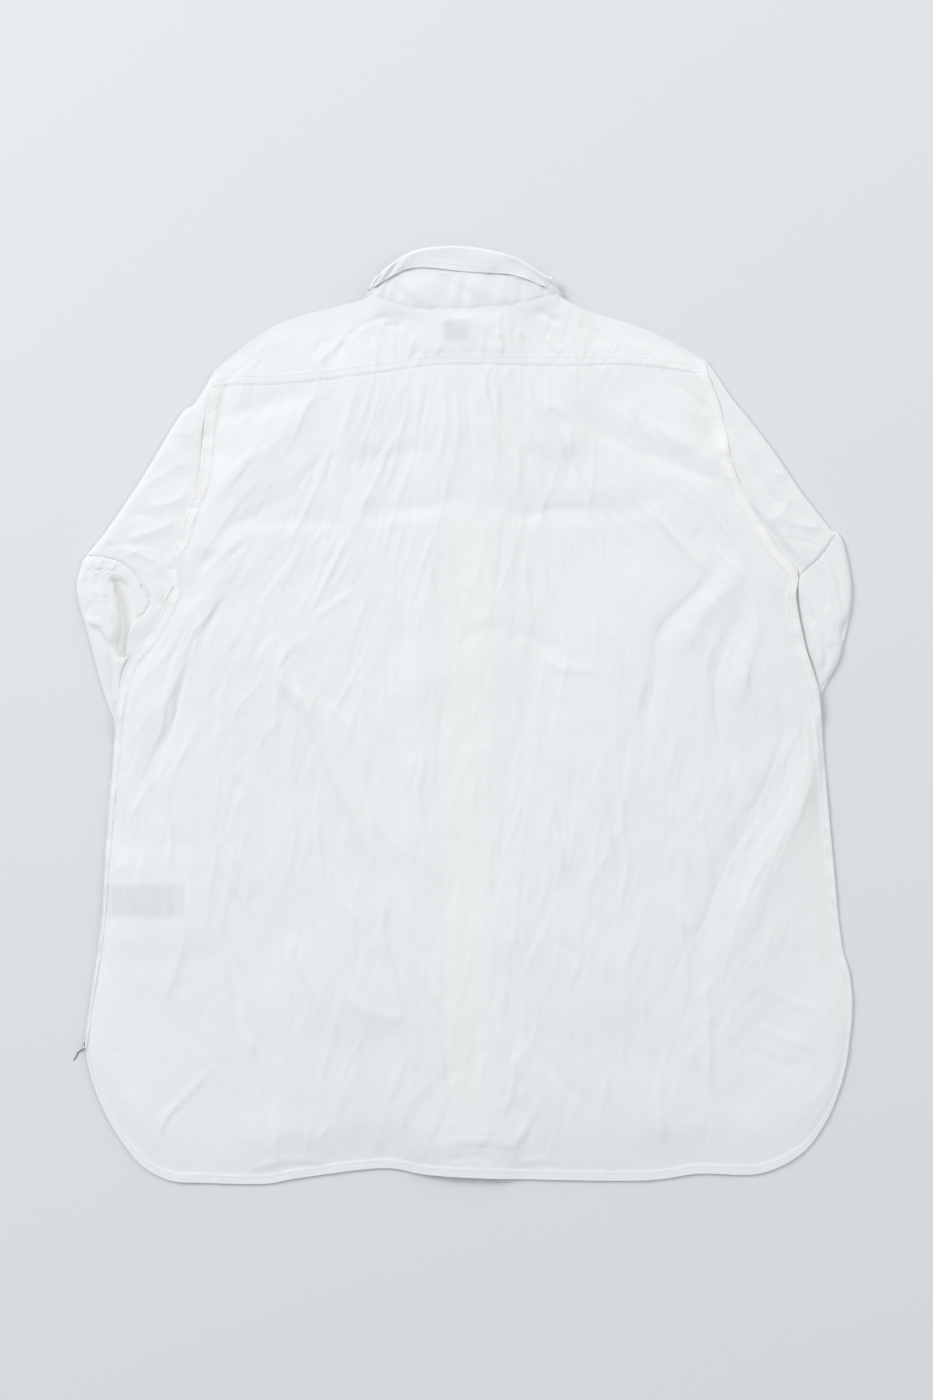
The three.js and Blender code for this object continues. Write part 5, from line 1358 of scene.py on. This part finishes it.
def elbowPatch(spec, folds, seed):
    across, down = np.linspace(0, 1, 96), np.linspace(0, 1, 132)
    top, bottom = (along(curve(spec[k]), across) for k in ("top", "bottom"))
    outer, inner = (along(curve(spec[k]), down) for k in ("outer", "inner"))
    flat = filled(top, bottom, outer, inner, across, down)
    x, y = flat[..., 0], flat[..., 1]
    field = reliefField()
    for path, left, right, rise in folds:
        addCrease(field, path, left, right, rise, sharp=0.35, fade=0.2)
    random = np.random.default_rng(seed)
    for _ in range(46):
        px, py = random.uniform(x.min(), x.max()), random.uniform(10, 150)
        turn = math.radians(random.normal(78 if spec["side"] < 0 else 108, 16))
        long = random.uniform(8, 30)
        dx, dy = math.cos(turn) * long / 2, math.sin(turn) * long / 2
        addCrease(field, [(px - dx, py - dy), (px + dx, py + dy)], 1.6, random.uniform(1.8, 4),
                  random.uniform(0.3, 0.9) * random.choice([-0.7, 1]), 0.8, 0.4)
    gap = bodyGap(x, y, spec["side"])
    clear = smooth((gap + 0.5) / 3.5) * smooth((y - 2) / 16)
    z = 3.7 + clear * (spec["full"] * smooth((y - 20) / 40) + sampled(field, x, y))
    z = np.clip(z, 0.95, 7.4)
    z = np.minimum(z, beneath(surfaces["upper" + str(spec["side"])], x, y) - cloth["ply"] - 0.1)
    z = np.maximum(z, 0.95)
    fromTop = down[:, None] * np.linalg.norm(np.diff(outer, axis=0), axis=1).sum()
    z = np.minimum(z, mixed(3.2, 8, smooth((fromTop - 5) / 7)))
    fromOuter = np.hypot(x - x[:, :1], y - y[:, :1])
    z = 1.5 + (z - 1.5) * np.sqrt(np.clip(1 - (1 - np.clip(fromOuter / 6, 0, 1)) ** 2, 0, 1))
    surfaces["elbow" + str(spec["side"])] = np.stack([x, y, z], -1)
    return shell(surfaces["elbow" + str(spec["side"])], cloth["ply"], coarse=4)[:2]


def rolledFold():
    # the small puffed roll where the left sleeve turns back on itself, with its pointed tip
    across, down = np.linspace(0, 1, 60), np.linspace(0, 1, 40)
    top = along(curve([(-336, 142), (-327, 144.6), (-316, 142.6), (-303, 136)]), across)
    low = along(curve([(-345.5, 115.8), (-333, 120), (-321, 122.5), (-306, 124)]), across)
    left = along(curve([(-336, 142), (-341, 133), (-337, 124), (-345.5, 115.8)]), down)
    right = along(curve([(-303, 136), (-301, 129), (-306, 124)]), down)
    flat = filled(top, low, left, right, across, down)
    u, v = across[None], down[:, None]
    puff = np.clip(1 - np.abs(2 * v - 1) ** 2.4, 0, 1) ** 0.5
    puff = puff * np.clip(1 - np.abs(2 * u - 1) ** 5, 0, 1) ** 0.5
    folds = puckers(u * 46 + v * 16, 5, 61) + 0.7 * puckers(u * 38 - v * 22 + 60, 7, 62)
    z = 2.2 + 4.4 * puff + 1.5 * puff * folds - 1.1 * np.exp(-((v - 0.55 - 0.12 * u) / 0.06) ** 2) * puff
    return shell(np.stack([flat[..., 0], flat[..., 1], z], -1), cloth["ply"], coarse=3)[:2]


hollows = {  # painted shade in the pockets between folds, with how wide and how dark each is
    "left": [([(-312, 121), (-305, 104), (-301, 78), (-306, 48)], 4, 0.32)],
    "right": [([(293, 116), (297, 100), (303, 80), (306, 60)], 4, 0.22)],
}
# the body's cotton a little darker, painted shade for the sleeves, with the painted shade of the elbow hollows as
# its brownish deep tint
shadedSleeveCotton = clothMaterial("shadedSleeveCotton", colour=(0.89, 0.895, 0.89), deep=(0.40, 0.37, 0.29),
                             warm=(0.9, 0.9, 0.9), rough=0.88, bump=0.22)


def hollowShade(points, spots):
    # painted shade along each hollow, darker where the cloth lies lower
    shade = np.zeros(len(points))
    for path, wide, dark in spots:
        line = curve(path, 24)
        far = np.hypot(points[:, :1] - line[None, :, 0], points[:, 1:2] - line[None, :, 1]).min(1)
        shade = np.maximum(shade, dark * np.exp(-(far / wide) ** 2) * smooth((5.2 - points[:, 2]) / 1.6))
    return shade


def makeSleeve(name, side):
    parts = [upperSleeve(upperSleeves[name], sleeveFolds[name], 40 + side),
             elbowPatch(elbows[name], elbowFolds[name], 50 + side),
             flatTube(lowerSleeves[name], 110, beneathElbow(side), cloth["ply"], side, underRelief)]
    if name == "left":
        parts.append(rolledFold())
    mesh = joined(*parts)
    # painted shade in the elbow hollows
    shade = hollowShade(mesh[0], hollows[name])
    return clothPiece(f"{name}Sleeve", mesh, [f"sleeve_{name}"], shadedSleeveCotton, values={"shade": shade})


def makeCuff(name, sections, side):
    return clothPiece(f"{name}Cuff", flatTube(sections, 34, None, cloth["cuffPly"], side), [f"cuff_{name}"])


leftSleeveCloth = makeSleeve("left", -1)
rightSleeveCloth = makeSleeve("right", 1)
leftCuffCloth = makeCuff("left", leftCuff, -1)
rightCuffCloth = makeCuff("right", rightCuff, 1)
print("sleeves and cuffs made")

# labels

def labelMesh(label, under):
    x, y = np.meshgrid(np.linspace(-0.5, 0.5, 36) * label["width"] + label["x"],
                       np.linspace(-0.5, 0.5, 18) * label["height"] + label["y"])
    return shell(np.stack([x, y, under(x, y) + 0.5], -1), 0.4)[:2]


careMesh = labelMesh(careLabel, lambda x, y: frontTop(x, y, 0 * x) + 0.3)
careTape = clothPiece("careLabel", careMesh, ["care_label"], tape)
neckMesh = labelMesh(neckLabel, lambda x, y: neckSeamHeight(x) - 2.4 + 0 * y)
neckTape = clothPiece("neckLabel", neckMesh, ["neck_label"], tape)
print("labels made")

# sewing: short raised stitches along the seams

thread = {"pitch": 2.8, "long": 1.8, "wide": 0.45, "thick": 0.3, "near": 1.7, "far": 8.4, "hem": 6.6}


def stitchLine(line, up=1):
    total = np.linalg.norm(np.diff(line, axis=0), axis=1).sum()
    middles = (np.arange(int(total / thread["pitch"])) + 0.5) * thread["pitch"] / total
    middles = middles[middles < 1 - thread["long"] / total]
    half = thread["long"] / 2 / total
    start, end = along(line, middles - half), along(line, middles + half)
    side = np.cross(end - start, [0, 0, up])
    side *= thread["wide"] / 2 / np.maximum(1e-9, np.linalg.norm(side, axis=1, keepdims=True))
    base = np.stack([start - side, start + side, end + side, end - side], 1)
    centre = base.mean(1, keepdims=True)
    top = centre + (base - centre) * 0.85 + [0, 0, up * thread["thick"]]
    points = np.concatenate([base - [0, 0, up * 0.2], top], 1).reshape(-1, 3)
    pattern = [[0, 3, 2, 1], [4, 5, 6, 7], [0, 1, 5, 4], [1, 2, 6, 5], [2, 3, 7, 6], [3, 0, 4, 7]]
    faces = [[8 * k + c for c in face] for k in range(len(middles)) for face in pattern]
    return points, faces


def inset(surface, distance):
    # a line this far in from a grid's first row
    steps = np.linalg.norm(np.diff(surface[:60], axis=0), axis=2)
    far = np.concatenate([np.zeros((1, steps.shape[1])), np.cumsum(steps, 0)])
    return np.stack([[np.interp(distance, far[:, k], surface[:60, k, axis]) for axis in range(3)]
                     for k in range(surface.shape[1])])


def onSurface(surface, points):
    # the given plan points at the height of the nearest point of a surface
    flat = surface.reshape(-1, 3)
    line = curve(points, 60)
    nearest = [flat[np.argmin((flat[:, 0] - x) ** 2 + (flat[:, 1] - y) ** 2), 2] for x, y in line]
    return np.column_stack([line, nearest])


def makeSewing():
    body, top = surfaces["back"], surfaces["yoke"]
    turned = body.transpose(1, 0, 2)
    lines = [(inset(body, thread["hem"]), 1), (inset(top, 1.8)[2:-2], 1), (inset(top, 7.6)[2:-2], 1)]
    for sideways in (turned, turned[::-1]):
        lines += [(inset(sideways, thread["near"])[3:-3], 1), (inset(sideways, thread["far"])[3:-3], 1)]
    leafEdge = surfaces["leaf"][::-1]
    half = slice(int(0.3 * collar["around"]), int(0.7 * collar["around"]))
    lines.append((inset(leafEdge, 5)[half], 1))
    lines.append((inset(surfaces["stand"], 3.4)[half], 1))
    for panel in ("frontLeftPanel", "frontRightPanel", "buttonBand"):
        lines.append((inset(surfaces[panel], thread["hem"])[2:-2], -1))
    for x in (band["centre"] - band["halfWidth"] + 3, band["centre"] + band["halfWidth"] - 3):
        y = np.linspace(-398, 286, 300)
        lines.append((np.stack([x + 0 * y, y, frontUnder(x + 0 * y, y) - 0.05], -1), -1))
    for cuff in (leftCuff, rightCuff):
        (outerA, innerA), (outerB, innerB) = (np.array(cuff[k], float) for k in (0, -1))
        for a in (0.06, 0.94):
            ends = [mixed(mixed(outerA, innerA, 0.04), mixed(outerB, innerB, 0.04), a),
                    mixed(mixed(outerA, innerA, 0.96), mixed(outerB, innerB, 0.96), a)]
            lines.append((np.column_stack([np.linspace(ends[0], ends[1], 30), np.full(30, 0.12)]), -1))
    elbow = surfaces["elbow1"]
    underarm = [(316, 145), (326, 120), (331, 96), (332, 74)]
    for shift in (-3.4, 3.4):
        lines.append((onSurface(elbow, [(x + shift, y) for x, y in underarm]), 1))
    points, faces = joined(*[stitchLine(line, up) for line, up in lines])
    points[:, 2] = np.maximum(points[:, 2], 0)
    return clothPiece("stitching", (points, faces), [], sewingThread)


sewingThread = clothMaterial("sewingThread", colour=(0.86, 0.865, 0.86), deep=(0.6, 0.6, 0.6),
                             warm=(0.9, 0.9, 0.9), rough=0.7, bump=0.1, slub=0.2, crinkle=0.1, pleat=0)
stitching = makeSewing()
print("seams stitched", len(stitching.data.polygons))

# a loose end of brown thread at the left of the hem

looseEnd = {
    "points": [(-334.5, -288, 2.6), (-337.5, -291, 3.0), (-336, -295, 2.2), (-340, -297, 1.4),
               (-343.5, -299.5, 0.8), (-345, -303, 0.5), (-347.5, -306.5, 0.45)],
    "radius": 0.42, "sides": 7,
}


def makeLooseEnd():
    line = curve(looseEnd["points"], 40)
    tangent = np.gradient(line, axis=0)
    tangent /= np.linalg.norm(tangent, axis=1, keepdims=True)
    side = np.cross(tangent, [0, 0, 1.0])
    side /= np.linalg.norm(side, axis=1, keepdims=True)
    lift = np.cross(side, tangent)
    turn = np.linspace(0, 2 * math.pi, looseEnd["sides"], endpoint=False)
    swell = np.sin(np.linspace(0.4, math.pi - 0.3, len(line)))
    taper = looseEnd["radius"] * (0.55 + 0.45 * swell)[:, None, None]
    turn = turn[None, :, None]
    rings = line[:, None] + taper * (side[:, None] * np.cos(turn) + lift[:, None] * np.sin(turn))
    sides = looseEnd["sides"]
    faces = [[r * sides + k, r * sides + (k + 1) % sides,
              (r + 1) * sides + (k + 1) % sides, (r + 1) * sides + k]
             for r in range(len(line) - 1) for k in range(sides)]
    faces.append(list(range(sides))[::-1])
    faces.append([(len(line) - 1) * sides + k for k in range(sides)])
    brown = clothMaterial("brownThread", colour=(0.13, 0.10, 0.08), deep=(0.1, 0.1, 0.1),
                          warm=(0.2, 0.2, 0.2), rough=0.8, bump=0.1, slub=0.2, crinkle=0.1, pleat=0)
    return clothPiece("looseThread", (rings.reshape(-1, 3), faces), [], brown)


makeLooseEnd()

# buttons

buttonLook = {
    "rim": 0.45, "recess": 0.62, "recessDepth": 0.55, "hole": 0.75, "spread": 1.35,
    "colour": (0.90, 0.89, 0.85),
}


def resinMaterial():
    material = bpy.data.materials.new("buttonResin")
    material.use_nodes = True
    tree = material.node_tree
    shader = tree.nodes["Principled BSDF"]
    shader.inputs["Roughness"].default_value = 0.28
    shader.inputs["Coat Weight"].default_value = 0.3
    shader.inputs["Subsurface Weight"].default_value = 0.15
    place = put(tree, "ShaderNodeTexCoord")
    cloud = put(tree, "ShaderNodeTexNoise")
    cloud.inputs["Scale"].default_value = 220
    tree.links.new(place.outputs["Object"], cloud.inputs["Vector"])
    tone = put(tree, "ShaderNodeMix", data_type="RGBA")
    tone.inputs[6].default_value = (*[c * 0.93 for c in buttonLook["colour"]], 1)
    tone.inputs[7].default_value = (*buttonLook["colour"], 1)
    tree.links.new(cloud.outputs["Fac"], tone.inputs[0])
    tree.links.new(tone.outputs[2], shader.inputs["Base Color"])
    return material


resin = resinMaterial()


def cutWith(body, radius, depth, x, y, z, sides):
    bpy.ops.object.select_all(action="DESELECT")
    bpy.ops.mesh.primitive_cylinder_add(vertices=sides, radius=radius * mm, depth=depth * mm,
                                        location=(x * mm, y * mm, z * mm))
    cutter = bpy.context.object
    bpy.context.view_layer.objects.active = body
    modifier = body.modifiers.new("cut", "BOOLEAN")
    modifier.operation = "DIFFERENCE"
    modifier.object = cutter
    bpy.ops.object.modifier_apply(modifier=modifier.name)
    bpy.data.objects.remove(cutter)


def makeButton(name, node, radius, faceUp):
    # a four-hole button turned to face up or down, set where its solid is
    thick = buttons["thick"]
    bpy.ops.object.select_all(action="DESELECT")
    bpy.ops.mesh.primitive_cylinder_add(vertices=56, radius=radius * mm, depth=thick * mm)
    button = bpy.context.object
    button.name = name
    cutWith(button, radius * buttonLook["recess"], 2 * buttonLook["recessDepth"], 0, 0, thick / 2, 48)
    scale = radius / buttons["radius"]
    for dx, dy in ((1, 1), (1, -1), (-1, -1), (-1, 1)):
        spread = buttonLook["spread"] * scale
        cutWith(button, buttonLook["hole"] * scale, thick * 3, dx * spread, dy * spread, 0, 16)
    rounded = button.modifiers.new("rounded", "BEVEL")
    rounded.width = buttonLook["rim"] * mm * 0.6
    rounded.segments = 2
    rounded.limit_method = "ANGLE"
    bpy.ops.object.select_all(action="DESELECT")
    button.select_set(True)
    bpy.context.view_layer.objects.active = button
    bpy.ops.object.modifier_apply(modifier=rounded.name)
    bpy.ops.object.shade_smooth_by_angle(angle=math.radians(35))
    low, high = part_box(node)
    button.location = (low + high) / 2
    button.rotation_euler = (0 if faceUp else math.pi, 0, 0)
    bpy.ops.object.transform_apply(location=True, rotation=True, scale=True)
    button.data.materials.clear()
    button.data.materials.append(resin)
    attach(button, "root")
    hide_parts(node)
    return button


for k in range(buttons["count"]):
    makeButton(f"buttonFront{k + 1}", f"button_front_{k + 1}", buttons["radius"], False)
makeButton("buttonCollar", "button_collar", buttons["collarRadius"], False)
for side in ("left", "right"):
    makeButton(f"buttonCuff{side.title()}", f"button_cuff_{side}", buttons["radius"], True)
print("buttons made")
